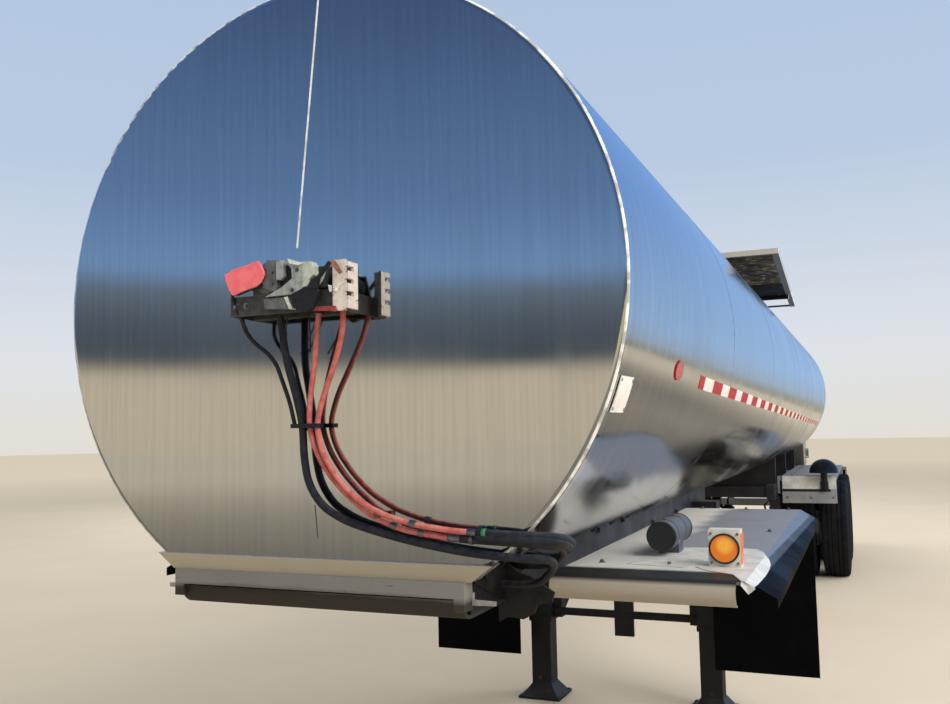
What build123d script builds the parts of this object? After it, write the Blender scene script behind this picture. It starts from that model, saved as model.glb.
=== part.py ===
from build123d import *
import math
import os

# Insulated single-barrel tank trailer on a tandem axle, parked on its landing gear.
# Millimetres. +X is forward, +Y the trailer's left, +Z up, and the ground is Z = 0.
# A station is a distance behind the front head, and x_at() turns it into X.
# Heights build up from the tyres: axle, springs, rails, saddles, barrel, coupler.

# Barrel
TANK_DIAMETER = 1860
TANK_LENGTH = 11600
HEAD_DEPTH = 45
HEAD_EDGE_RADIUS = 16
SADDLE_RISE = 125
SEAT_GAP = 0.3
PAST = 1  # how far a cut reaches past the face that it opens

# Upper coupler: plate that rests on the towing vehicle, with the frame over it
COUPLER_RECESS = 174
COUPLER_LENGTH = 2100
COUPLER_DEPTH = 149
FRAME_HALF_WIDTH = 460
COUPLER_PLATE_THICKNESS = 10
COUPLER_NOSE_RADIUS = 56
COUPLER_NOSE_STATION = 45
APRON_HEIGHT = 44
APRON_REACH = 14
APRON_DEPTH = 59
APRON_TOP_HALF_WIDTH = 548
APRON_BOTTOM_HALF_WIDTH = 488
LIP_HEIGHT = 43
LIP_REACH = 26
LIP_DEPTH = 56
LIP_HALF_WIDTH = 472
LIP_RETURN = 30
CROSS_PLATE = 12
COUPLER_CROSS_COUNT = 5
COUPLER_CROSS_FRONT = 150
COUPLER_CROSS_REAR = 20

# Kingpin, two inch
KINGPIN_STATION = 914
KINGPIN_NECK_RADIUS = 25.4
KINGPIN_COLLAR_RADIUS = 35.7
KINGPIN_SHOULDER_RADIUS = 36.5
KINGPIN_SHOULDER_LENGTH = 35
KINGPIN_NECK_LENGTH = 31
KINGPIN_COLLAR_LENGTH = 18

# Front frame and landing gear
FRAME_DROP = 80
FRAME_RAIL_THICKNESS = 20
FRAME_REAR_REACH = 400
LANDING_STATION = 3500
LEG_OUTER = 140
LEG_WALL = 6
LEG_BOTTOM = 470
LEG_RISE = 40
LEG_OVERLAP = 200
FOOT_SIZE = 270
FOOT_THICKNESS = 14
FOOT_FLARE_SIZE = 232
FOOT_FLARE_HEIGHT = 70
BRACE_RADIUS = 24
CROSS_TUBE_HEIGHT = 530
BRACE_OFFSET = 60
BRACE_RUN = 830
BRACE_END_Y = 300
BRACE_END_RISE = 50
STRUT_WIDTH = 120
STRUT_THICKNESS = 24
STRUT_DROP = 130
GUSSET_WIDTH = 55
GUSSET_LOW = 40
GUSSET_HIGH = 100
GEARBOX_INSET = 10
GEARBOX_TOP = 70
GEARBOX_HEIGHT = 190
GEARBOX_DEPTH = 46
CRANK_DROP = 165
CRANK_LENGTH = 260
CRANK_SHAFT = 130
CRANK_GRIP = 115
CRANK_RADIUS = 11

# Front fenders over the towing vehicle's wheels
FENDER_RISE = 20
FENDER_SHEET = 5
FENDER_FRONT_STATION = 740
FENDER_REAR_STATION = 3220
FENDER_FLAT_OUTER_Y = 1090
FENDER_OUTER_Y = 1180
FENDER_EDGE_DROP = 52
FENDER_EDGE_SKIRT = 30
FENDER_LIP_RADIUS = 42
FENDER_LIP_INSET = 30
SUPPORT_SIZE = 50
SUPPORT_END_Y = 1080
SUPPORT_POST = 20
FRONT_SUPPORT_STATIONS = (1000, 2100, 3195)
LAMP_STATION = 1021
LAMP_Y = 990
LAMP_WIDTH = 106
LAMP_HEIGHT = 126
LAMP_DEPTH = 62
LAMP_LENS_RADIUS = 45
LAMP_LENS_THICKNESS = 16
LAMP_LENS_SEAT = 10
CANISTER_STATION = 1335
CANISTER_Y = 740
CANISTER_RADIUS = 54
CANISTER_LENGTH = 340
CANISTER_RISE = 22
CANISTER_FOOT_WIDTH = 80
CANISTER_FOOT_LENGTH = 90

# Mud flaps
FLAP_THICKNESS = 10
FLAP_INNER_Y = 590
FLAP_OUTER_Y = 1150
FLAP_BOTTOM = 310
FLAP_FRONT_DROP = 7
FLAP_REAR_DROP = 60

# Running gear
TYRE_DIAMETER = 1050
TYRE_WIDTH = 280
TYRE_TREAD_WIDTH = 216
TYRE_SHOULDER_DROP = 22
TYRE_SHOULDER_INSET = 12
TYRE_BULGE_RADIUS = 409
TYRE_BEAD_INSET = 8
TRACK = 1816
DUAL_SPACING = 330
AXLE_SPREAD = 1245
LAST_AXLE_SETBACK = 1435
RIM_RADIUS = 284
RIM_FLANGE_RADIUS = 296
RIM_HALF_WIDTH = 105
RIM_WALL = 9
RIM_WELL_OFFSET = 35
DISC_THICKNESS = 12
DISC_ROOT = 17
DISC_FLAT_RADIUS = 172
DISC_BORE_RADIUS = 75
HAND_HOLE_COUNT = 5
HAND_HOLE_RADIUS = 30
HAND_HOLE_CIRCLE = 218
HUB_RADIUS = 104
HUB_REACH = 150
HUB_CAP_RADIUS = 84
HUB_CAP_LENGTH = 50
HUB_CAP_WALL = 20
DRUM_RADIUS = 214
DRUM_LENGTH = 220
DRUM_SHOULDER = 95
DRUM_NECK_RADIUS = 160
SPINDLE_RADIUS = 45
RUNNING_CLEARANCE = 0.05
AXLE_TUBE_RADIUS = 63.5
BACKING_PLATE_RADIUS = 195
BACKING_PLATE_THICKNESS = 10
MOVING_CLEARANCE = 8

# Springs, hangers and the equaliser between the axles
SPRING_Y = 483
SPRING_WIDTH = 76
SPRING_LENGTH = 1066
SPRING_CAMBER = 46
LEAF_THICKNESS = 16
LEAF_SHARES = (1.0, 0.78, 0.5)
SPRING_SEAT_HEIGHT = 24
SPRING_END_REACH = 503
SEAT_LENGTH = 180
SEAT_MARGIN = 8
SEAT_DROP = 20
HANGER_DEPTH = 193.5
HANGER_WIDTH = 108
HANGER_LENGTH = 120
HANGER_FLARE = 40
HANGER_SLOT = 82
EQUALISER_PIN_DROP = 100
EQUALISER_PIN_RADIUS = 24
EQUALISER_HALF_LENGTH = 150
EQUALISER_PAD = 55
EQUALISER_THICKNESS = 64
EQUALISER_END_DEPTH = 30
EQUALISER_BELLY = 34
EQUALISER_CROWN = 44
EQUALISER_WAIST = 40
CENTRE_PLATE = 14
CENTRE_PLATE_TOP = 110
TORQUE_ROD_RADIUS = 19
TORQUE_EYE_RADIUS = 27
TORQUE_ROD_DROP = 75
TORQUE_ROD_RISE = 20
CHAMBER_RADIUS = 76
CHAMBER_LENGTH = 150
CHAMBER_Y = 300
CHAMBER_FORWARD = 210
CHAMBER_RISE = 40
CHAMBER_ARM_WIDTH = 60
CHAMBER_ARM_THICKNESS = 16

# Rear subframe, in front of and behind the axles
RAIL_DEPTH = 150
RAIL_WIDTH = 80
RAIL_FRONT_REACH = 1020
RAIL_REAR_INSET = 40
RAIL_CROSS_INSET = 80
RAIL_CROSS_BEHIND = (735, 1135)
RAIL_CROSS_DEPTH = 110
RAIL_CROSS_DROP = 20
RAIL_CROSS_WIDTH = 80
SADDLE_FRONT_REACH = 720
SADDLE_REAR_REACH = 835
SADDLE_HALF_WIDTH = 518
SADDLE_THICKNESS = 60
AIR_TANK_RADIUS = 120
AIR_TANK_LENGTH = 720
AIR_TANK_END = 40

# Rear fenders
REAR_FENDER_GAP = 80
REAR_FENDER_FRONT_REACH = 630
REAR_FENDER_REAR_REACH = 715
REAR_FENDER_INNER_Y = 570
REAR_FENDER_OUTER_Y = 1120
REAR_FENDER_SKIRT = 290
REAR_FENDER_EDGE = 46
REAR_SUPPORT_FRONT = 55
REAR_SUPPORT_REAR = 65
REAR_SUPPORT_INSET = 30
REAR_SUPPORT_LAP = 40
DOME_Y = 1000
DOME_RADIUS = 145
DOME_POST_RADIUS = 34
DOME_POST_GAP = 1
DOME_RISE = 35
DOME_FOOT_HALF_WIDTH = 40
DOME_FOOT_TOP = 60
DOME_FOOT_BOTTOM = 150

# Manway, its lid, the clamps round it and the work platform
MANWAY_AHEAD_OF_AXLE = 1720
MANWAY_INNER_RADIUS = 235
MANWAY_WALL = 22
MANWAY_RISE = 160
MANWAY_WELL_DEPTH = 140
LID_RADIUS = 278
LID_THICKNESS = 14
LID_CROWN = 38
LID_SHOULDER_RADIUS = 225
LID_CROWN_RADIUS = 150
LID_HINGE_OFFSET = 320
LID_PIN_RADIUS = 9
LID_LUG_RADIUS = 18
LID_LUG_Y = 70
LID_LUG_WIDTH = 18
LID_LUG_LAP = 40
LID_EAR_WIDTH = 14
LID_EAR_DEPTH = 60
CLAMP_ANGLES = (0, 60, 120, 240, 300)
CLAMP_LUG_WIDTH = 34
CLAMP_LUG_REACH = 30
CLAMP_LUG_DEPTH = 44
CLAMP_LUG_DROP = 12
CLAMP_BOLT_RADIUS = 7
CLAMP_BOLT_LENGTH = 84
CLAMP_NUT_RADIUS = 13
CLAMP_NUT_LENGTH = 18
PLATFORM_FRONT_REACH = 1370
PLATFORM_REAR_REACH = 1400
PLATFORM_HALF_WIDTH = 835
PLATFORM_END_HALF_WIDTH = 700
PLATFORM_BEAM_LENGTH = 3880
PLATFORM_REAR_DROP = 43
PLATFORM_RISE = 93
PLATFORM_DEPTH = 46
PLATFORM_FRAME = 60
PLATFORM_SLAT_WIDTH = 34
PLATFORM_SLAT_DEPTH = 30
PLATFORM_SLAT_COUNT = 14
PLATFORM_MANWAY_GAP = 40
PLATFORM_HINGE_GAP = 60
PLATFORM_LEG_FRONT_INSET = 160
PLATFORM_LEG_REAR_INSET = 160
PLATFORM_LEG_END_INSET = 70
PLATFORM_LEG_MANWAY_GAP = 253
PLATFORM_LEG_WIDTH = 60
PLATFORM_LEG_HALF_SPAN = 300
PLATFORM_LEG_DEPTH = 90

# Ladder up the right side to the platform
LADDER_WIDTH = 420
LADDER_TUBE_RADIUS = 19
LADDER_RUNG_RADIUS = 14
LADDER_OFFSET = 130
LADDER_BOTTOM = 820
LADDER_BEND_RISE = 345
LADDER_RUNG_SPACING = 300
LADDER_STAY_LOW = 500
LADDER_STAY_HIGH = 250

# Cabinet behind the rear head
CABINET_DEPTH = 560
CABINET_HALF_WIDTH = 600
CABINET_RISE = 10
CABINET_HEIGHT = 860
CABINET_WALL = 24
CABINET_CORNER = 70
CABINET_FRONT_WALL = 36
DOOR_THICKNESS = 26
DOOR_GAP = 5
DOOR_SPLIT_GAP = 3
HINGE_OFFSET = 24
HINGE_PIN_RADIUS = 6
HINGE_LEAF = 10
HINGE_LAP = 10
KNUCKLE_RADIUS = 12
KNUCKLE_LENGTH = 90
HINGE_ARM_LENGTH = 60
HINGE_ARM_THICKNESS = 14
HINGE_RISES = (190, 670)
LATCH_INSET = 90
LATCH_RISE = 430
LATCH_PLATE_WIDTH = 70
LATCH_PLATE_HEIGHT = 130
LATCH_PLATE_DEPTH = 6
LATCH_HANDLE_WIDTH = 34
LATCH_HANDLE_HEIGHT = 96
LATCH_REACH = 24
OUTLET_RISE = 270
OUTLET_RADIUS = 38.1
OUTLET_LENGTH = 330
OUTLET_FLANGE_RADIUS = 76
OUTLET_FLANGE_THICKNESS = 16
VALVE_OFFSET = 130
VALVE_LENGTH = 52
VALVE_RADIUS = 57
VALVE_STEM_RADIUS = 12
VALVE_STEM_RISE = 120
VALVE_HANDLE_REACH = 164
VALVE_HANDLE_WIDTH = 24
VALVE_HANDLE_THICKNESS = 12

# Rear underride guard and tail lamps
BUMPER_HEIGHT = 540
BUMPER_SIZE = 100
BUMPER_HALF_WIDTH = 1130
BUMPER_KNEE = 30
BUMPER_KNEE_WIDTH = 20
BUMPER_ARM = 60
TAIL_BOX_INNER_Y = 640
TAIL_BOX_OUTER_Y = 1140
TAIL_BOX_HEIGHT = 150
TAIL_BOX_RISE = 5
TAIL_BOX_DEPTH = 70
TAIL_ARM_INSET = 40
TAIL_LAMP_RADIUS = 52
TAIL_LAMP_COUNT = 3
TAIL_LAMP_THICKNESS = 18

# Service connections on the front head
TRAY_INNER_Y = -205
TRAY_OUTER_Y = 150
TRAY_DROP = 69
TRAY_HEIGHT = 56
TRAY_REACH = 112
TRAY_SHEET = 5
BACK_PLATE_RISE = 73
BACK_PLATE_INSET = 10
BACK_PLATE_THICKNESS = 20
GLADHAND_RADIUS = 40
GLADHAND_THICKNESS = 34
GLADHAND_SETBACK = 6
GLADHAND_NECK_HALF_WIDTH = 22
GLADHAND_NECK_RISE = 12
GLADHAND_EAR = (12, 12, 30)  # width beyond the disc, thickness, drop below its centre
GLADHAND_TABLE = ((-86, 45), (8, 48))  # y, rise of each coupling's centre above the tray
SOCKET_Y = 92
SOCKET_RADIUS = 30
SOCKET_LENGTH = 70
SOCKET_SETBACK = 20
SOCKET_LID_THICKNESS = 8
SOCKET_LID_STANDOFF = 16
SOCKET_LID_TILT = 28
SOCKET_LINK = (28, 14, 22)  # width, thickness, rise above the socket's centre
BOARD_Y = 160
BOARD_WIDTH = 40
BOARD_THICKNESS = 8
BOARD_LOW = 6
BOARD_RISE = 78
NOTCH_RISES = (40, 74, 108)
NOTCH_HEIGHT = 12
NOTCH_DEPTH = 30
SIDE_PLATE_END = 66
COVER_Y = -150
COVER_RISE = 46
COVER_WIDTH = 128
COVER_DEPTH = 86
COVER_THICKNESS = 12
COVER_CORNER = 14
COVER_TILT = 18
COVER_ROLL = 15
COVER_STANDOFF = 13.3

# Lines down the front head, held by their tie
RED_HOSE_DIAMETER = 16
HARNESS_DIAMETER = 22
CABLE_DIAMETER = 12
BEND_SHARE = 0.45
TIE_DROP = 314
TIE_HEIGHT = 12
TIE_OUT = (24, 54)
TIE_Y = (-42, 48)
TIE_FOOT_HALF_WIDTH = 10
TIE_FOOT_HALF_HEIGHT = 14

# Heights that follow from the sizes above
TANK_RADIUS = TANK_DIAMETER / 2
AXLE_HEIGHT = TYRE_DIAMETER / 2
SPRING_SEAT_TOP = AXLE_HEIGHT + AXLE_TUBE_RADIUS + SPRING_SEAT_HEIGHT
SPRING_END_TOP = SPRING_SEAT_TOP + len(LEAF_SHARES) * LEAF_THICKNESS + SPRING_CAMBER
RAIL_BOTTOM = SPRING_END_TOP + HANGER_DEPTH
RAIL_TOP = RAIL_BOTTOM + RAIL_DEPTH
EQUALISER_PIN_HEIGHT = RAIL_BOTTOM - EQUALISER_PIN_DROP
REAR_FENDER_TOP = TYRE_DIAMETER + REAR_FENDER_GAP
TANK_BOTTOM = RAIL_TOP + SADDLE_RISE
TANK_AXIS_HEIGHT = TANK_BOTTOM + TANK_RADIUS
COUPLER_TOP = TANK_BOTTOM + COUPLER_RECESS
COUPLER_HEIGHT = COUPLER_TOP - COUPLER_DEPTH
FRAME_BOTTOM = COUPLER_HEIGHT - FRAME_DROP
LEG_TOP = COUPLER_HEIGHT + LEG_RISE
FENDER_TOP = COUPLER_HEIGHT + FENDER_RISE
MANWAY_TOP = TANK_AXIS_HEIGHT + TANK_RADIUS + MANWAY_RISE
PLATFORM_BOTTOM = TANK_AXIS_HEIGHT + TANK_RADIUS + PLATFORM_RISE
LADDER_OUTER_Y = TANK_RADIUS + LADDER_OFFSET
LADDER_BEND_HEIGHT = TANK_AXIS_HEIGHT + LADDER_BEND_RISE
CABINET_BOTTOM = RAIL_TOP + CABINET_RISE
CABINET_TOP = CABINET_BOTTOM + CABINET_HEIGHT
OUTLET_HEIGHT = CABINET_BOTTOM + OUTLET_RISE
TAIL_BOX_BOTTOM = RAIL_BOTTOM + TAIL_BOX_RISE
TRAY_BOTTOM = TANK_AXIS_HEIGHT - TRAY_DROP
TRAY_TOP = TRAY_BOTTOM + TRAY_HEIGHT

# Stations that follow
WHEEL_FACE_Y = TRACK / 2
AXLE_STATIONS = (TANK_LENGTH - LAST_AXLE_SETBACK - AXLE_SPREAD, TANK_LENGTH - LAST_AXLE_SETBACK)
MIDDLE_STATION = sum(AXLE_STATIONS) / 2
MANWAY_STATION = AXLE_STATIONS[0] - MANWAY_AHEAD_OF_AXLE
CABINET_REAR_STATION = TANK_LENGTH + CABINET_DEPTH
DOOR_STATION = CABINET_REAR_STATION + DOOR_GAP
RAIL_FRONT_STATION = AXLE_STATIONS[0] - RAIL_FRONT_REACH
RAIL_REAR_STATION = CABINET_REAR_STATION - RAIL_REAR_INSET
AIR_TANK_CROSS_STATION = AXLE_STATIONS[1] + RAIL_CROSS_BEHIND[1]
RAIL_CROSS_STATIONS = (
    RAIL_FRONT_STATION + RAIL_CROSS_INSET,
    MIDDLE_STATION,
    AXLE_STATIONS[1] + RAIL_CROSS_BEHIND[0],
    AIR_TANK_CROSS_STATION,
    RAIL_REAR_STATION - RAIL_CROSS_INSET,
)
SADDLE_STATIONS = (
    AXLE_STATIONS[0] - SADDLE_FRONT_REACH,
    MIDDLE_STATION,
    AXLE_STATIONS[1] + SADDLE_REAR_REACH,
)
REAR_FENDER_FRONT_STATION = AXLE_STATIONS[0] - REAR_FENDER_FRONT_REACH
REAR_FENDER_REAR_STATION = AXLE_STATIONS[1] + REAR_FENDER_REAR_REACH
REAR_SUPPORT_STATIONS = (
    REAR_FENDER_FRONT_STATION + REAR_SUPPORT_FRONT,
    MIDDLE_STATION,
    REAR_FENDER_REAR_STATION - REAR_SUPPORT_REAR,
)
BUMPER_STATION = RAIL_REAR_STATION - BUMPER_SIZE / 2
FRAME_REAR_STATION = LANDING_STATION + FRAME_REAR_REACH
FRAME_CROSS_STATIONS = (
    COUPLER_LENGTH + CROSS_PLATE,
    (COUPLER_LENGTH + LANDING_STATION) / 2,
    LANDING_STATION,
    FRAME_REAR_STATION - 2 * FRAME_RAIL_THICKNESS,
)
COUPLER_CROSS_PITCH = (COUPLER_LENGTH - COUPLER_CROSS_REAR - COUPLER_CROSS_FRONT) / (COUPLER_CROSS_COUNT - 1)
PLATFORM_FRONT_STATION = MANWAY_STATION - PLATFORM_FRONT_REACH
PLATFORM_REAR_STATION = MANWAY_STATION + PLATFORM_REAR_REACH
MANWAY_OUTER_RADIUS = MANWAY_INNER_RADIUS + MANWAY_WALL
PLATFORM_LEG_STATIONS = (
    PLATFORM_FRONT_STATION + PLATFORM_LEG_FRONT_INSET,
    MANWAY_STATION - MANWAY_OUTER_RADIUS - PLATFORM_LEG_MANWAY_GAP - PLATFORM_MANWAY_GAP,
    MANWAY_STATION + MANWAY_OUTER_RADIUS + PLATFORM_LEG_MANWAY_GAP + PLATFORM_MANWAY_GAP,
    PLATFORM_REAR_STATION - PLATFORM_LEG_REAR_INSET,
    PLATFORM_FRONT_STATION + PLATFORM_BEAM_LENGTH - PLATFORM_LEG_END_INSET,
)
LID_PIN_STATION = MANWAY_STATION + LID_HINGE_OFFSET
LID_PIN_HEIGHT = MANWAY_TOP + LID_THICKNESS / 2

# The origin is under the middle of the whole trailer
REAR_REACH = CABINET_DEPTH + DOOR_GAP + DOOR_THICKNESS + LATCH_REACH
COVER_LEAN = math.radians(COVER_TILT)
COVER_HALF_REACH = (COVER_THICKNESS * math.cos(COVER_LEAN) + COVER_DEPTH * math.sin(COVER_LEAN)) / 2
FRONT_REACH = TRAY_REACH + COVER_STANDOFF + COVER_HALF_REACH
X_HEAD = (TANK_LENGTH + REAR_REACH + FRONT_REACH) / 2 - FRONT_REACH


def x_at(station):
    return X_HEAD - station


def span(a, b, side=1):
    """Two y values on one side of the trailer, lowest first."""
    return tuple(sorted((side * a, side * b)))


def around(middle, width):
    return (middle - width / 2, middle + width / 2)


def block(stations, y, z):
    """Box from pairs of limits: stations, y and z."""
    middle = Pos(x_at(sum(stations) / 2), sum(y) / 2, sum(z) / 2)
    return middle * Box(stations[1] - stations[0], y[1] - y[0], z[1] - z[0])


def rod(start, end, radius):
    """Round bar between two points given as station, y, z."""
    a = Vector(x_at(start[0]), start[1], start[2])
    b = Vector(x_at(end[0]), end[1], end[2])
    along = Plane(origin=a, z_dir=b - a)
    return along * Cylinder(radius, (b - a).length, align=(Align.CENTER, Align.CENTER, Align.MIN))


def drum_along_y(station, y, z, radius):
    """Cylinder across the trailer between two y values."""
    middle = Pos(x_at(station), sum(y) / 2, z)
    return middle * Rot(90, 0, 0) * Cylinder(radius, y[1] - y[0])


def drum_along_x(stations, y, z, radius):
    """Cylinder along the trailer between two stations."""
    middle = Pos(x_at(sum(stations) / 2), y, z)
    return middle * Rot(0, 90, 0) * Cylinder(radius, stations[1] - stations[0])


def bent_rod(points, radius, bend):
    """Round bar bent along points given as station, y, z."""
    path = FilletPolyline(*[(x_at(s), y, z) for s, y, z in points], radius=bend)
    return sweep(Plane(origin=path @ 0, z_dir=path % 0) * Circle(radius), path=path)


def mirrored(shape):
    return mirror(shape, about=Plane.XZ)


def both_sides(shape):
    return [shape, mirrored(shape)]


def across(points, y):
    """Side profile of station and height points, as a plate between two y values."""
    flat = [(x_at(s), z) for s, z in points]
    face = Plane.XZ * make_face(Polyline(*flat, close=True))
    return Pos(0, y[1], 0) * extrude(face, amount=y[1] - y[0])


def lengthwise(points, stations):
    """End profile of y and height points, as a bar between two stations."""
    face = make_face(Polyline(*points, close=True))
    plane = Plane(origin=(x_at(stations[1]), 0, 0), x_dir=(0, 1, 0), z_dir=(1, 0, 0))
    return plane * extrude(face, amount=stations[1] - stations[0])


def from_above(points, z):
    """Plan outline of station and y points, as a plate between two heights."""
    flat = [(x_at(s), y) for s, y in points]
    return Pos(0, 0, z[0]) * extrude(make_face(Polyline(*flat, close=True)), amount=z[1] - z[0])


def barrel(stations, extra=0.0):
    return drum_along_x(stations, 0, TANK_AXIS_HEIGHT, TANK_RADIUS + extra)


def clear_of_barrel(shape):
    return shape - barrel((-HEAD_DEPTH, TANK_LENGTH), SEAT_GAP)


def coupler_notch():
    """What the coupler frame takes out of the barrel's lower front."""
    return block((-2 * HEAD_DEPTH, COUPLER_LENGTH), (-TANK_RADIUS, TANK_RADIUS), (0, COUPLER_TOP))


# Tank

def head(station, direction):
    """Flat head with a rolled edge, revolved about the barrel's axis."""
    out = HEAD_DEPTH - HEAD_EDGE_RADIUS
    rim = TANK_RADIUS - HEAD_EDGE_RADIUS
    corner = HEAD_EDGE_RADIUS * math.cos(math.radians(45))
    edges = [
        Line((0, 0), (0, TANK_RADIUS)),
        Line((0, TANK_RADIUS), (out, TANK_RADIUS)),
        ThreePointArc((out, TANK_RADIUS), (out + corner, rim + corner), (HEAD_DEPTH, rim)),
        Line((HEAD_DEPTH, rim), (HEAD_DEPTH, 0)),
        Line((HEAD_DEPTH, 0), (0, 0)),
    ]
    solid = revolve(make_face(edges), Axis.X)
    turned = solid if direction > 0 else mirror(solid, about=Plane.YZ)
    return Pos(x_at(station), 0, TANK_AXIS_HEIGHT) * turned


def tank_jacket():
    body = barrel((HEAD_DEPTH, TANK_LENGTH - HEAD_DEPTH)) - coupler_notch()
    top = TANK_AXIS_HEIGHT + TANK_RADIUS
    well = rod(
        (MANWAY_STATION, 0, top - MANWAY_WELL_DEPTH),
        (MANWAY_STATION, 0, top + MANWAY_RISE),
        MANWAY_INNER_RADIUS,
    )
    return body - well


def front_head():
    return head(HEAD_DEPTH, 1) - coupler_notch()


def rear_head():
    return head(TANK_LENGTH - HEAD_DEPTH, -1)


def upright(radius, z, offset=0.0, angle=0.0):
    """Upright cylinder in the manway, off its middle by an offset at an angle from forward."""
    turn = math.radians(angle)
    x = x_at(MANWAY_STATION) + offset * math.cos(turn)
    foot = Pos(x, offset * math.sin(turn), z[0])
    return foot * Cylinder(radius, z[1] - z[0], align=(Align.CENTER, Align.CENTER, Align.MIN))


def radial_block(reach, width, z, angle):
    """Box that points out from the manway's middle."""
    shape = Pos(sum(reach) / 2, 0, sum(z) / 2) * Box(reach[1] - reach[0], width, z[1] - z[0])
    return Pos(x_at(MANWAY_STATION), 0, 0) * Rot(0, 0, angle) * shape


def lid_ears_y(side):
    """Limits of a collar ear, outside the lid's lug."""
    near = LID_LUG_Y + LID_LUG_WIDTH / 2 + MOVING_CLEARANCE / 2
    return span(near, near + LID_EAR_WIDTH, side)


def hinge_ear(side):
    """Ear on the collar beside a lid lug, cut back round the lid's edge."""
    outer = MANWAY_OUTER_RADIUS
    stations = (MANWAY_STATION + MANWAY_INNER_RADIUS, LID_PIN_STATION + LID_LUG_RADIUS)
    ear = block(stations, lid_ears_y(side), (MANWAY_TOP - LID_EAR_DEPTH, LID_PIN_HEIGHT + LID_LUG_RADIUS))
    z = (MANWAY_TOP - CLAMP_LUG_DROP, MANWAY_TOP + LID_RADIUS)
    lid_space = upright(LID_RADIUS + MOVING_CLEARANCE, z)
    return ear - lid_space - upright(outer - MANWAY_WALL / 2, (0, 2 * MANWAY_TOP))


def clamp(angle):
    """Lug on the collar with its swing bolt hanging open, and the hand nut on the bolt."""
    outer = MANWAY_OUTER_RADIUS
    top = MANWAY_TOP - CLAMP_LUG_DROP
    reach = (outer - MANWAY_WALL / 2, outer + CLAMP_LUG_REACH)
    lug = radial_block(reach, CLAMP_LUG_WIDTH, (top - CLAMP_LUG_DEPTH, top), angle)
    bolt_at = outer + CLAMP_LUG_REACH / 2
    low = top - CLAMP_BOLT_LENGTH
    bolt = upright(CLAMP_BOLT_RADIUS, (low, top - CLAMP_LUG_DEPTH / 2), bolt_at, angle)
    nut = upright(CLAMP_NUT_RADIUS, (low, low + CLAMP_NUT_LENGTH), bolt_at, angle)
    return lug + bolt + nut


def manway_collar():
    low = TANK_AXIS_HEIGHT + TANK_RADIUS - MANWAY_WELL_DEPTH / 2
    outer = MANWAY_OUTER_RADIUS
    z = (low, MANWAY_TOP)
    collar = clear_of_barrel(upright(outer, z) - upright(MANWAY_INNER_RADIUS, z))
    for side in (-1, 1):
        collar = collar + hinge_ear(side)
    for angle in CLAMP_ANGLES:
        collar = collar + clamp(angle)
    reach = lid_ears_y(1)[1]
    return collar + drum_along_y(LID_PIN_STATION, (-reach, reach), LID_PIN_HEIGHT, LID_PIN_RADIUS)


def manway_lid():
    """Dished lid with slotted ears for the clamps and two lugs on the hinge pin."""
    rise = MANWAY_TOP + SEAT_GAP
    dish = [
        (0, 0),
        (LID_RADIUS, 0),
        (LID_RADIUS, LID_THICKNESS),
        (LID_SHOULDER_RADIUS, LID_THICKNESS),
        (LID_CROWN_RADIUS, LID_THICKNESS + LID_CROWN),
        (0, LID_THICKNESS + LID_CROWN),
    ]
    pan = revolve(Plane.XZ * make_face(Polyline(*dish, close=True)), Axis.Z)
    lid = Pos(x_at(MANWAY_STATION), 0, rise) * pan
    edge = MANWAY_INNER_RADIUS + MANWAY_WALL + CLAMP_LUG_REACH
    slot = (edge - CLAMP_LUG_REACH, edge + PAST)
    z = (rise, rise + LID_THICKNESS)
    for angle in CLAMP_ANGLES:
        ear = radial_block((LID_SHOULDER_RADIUS, edge), CLAMP_LUG_WIDTH, z, angle)
        lid = lid + (ear - radial_block(slot, 2 * CLAMP_BOLT_RADIUS + 2, (rise - PAST, z[1] + PAST), angle))
    for side in (-1, 1):
        limits = around(side * LID_LUG_Y, LID_LUG_WIDTH)
        arm = block((MANWAY_STATION + LID_RADIUS - LID_LUG_LAP, LID_PIN_STATION), limits, z)
        lid = lid + arm + drum_along_y(LID_PIN_STATION, limits, LID_PIN_HEIGHT, LID_LUG_RADIUS)
    bore = LID_PIN_RADIUS + RUNNING_CLEARANCE
    return lid - drum_along_y(LID_PIN_STATION, (-LID_RADIUS, LID_RADIUS), LID_PIN_HEIGHT, bore)


# Work platform and ladder

def side_beam_y(station):
    """Outer face of a side beam, which closes in towards the rear."""
    share = (station - PLATFORM_FRONT_STATION) / PLATFORM_BEAM_LENGTH
    return PLATFORM_HALF_WIDTH - share * (PLATFORM_HALF_WIDTH - PLATFORM_END_HALF_WIDTH)


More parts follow.
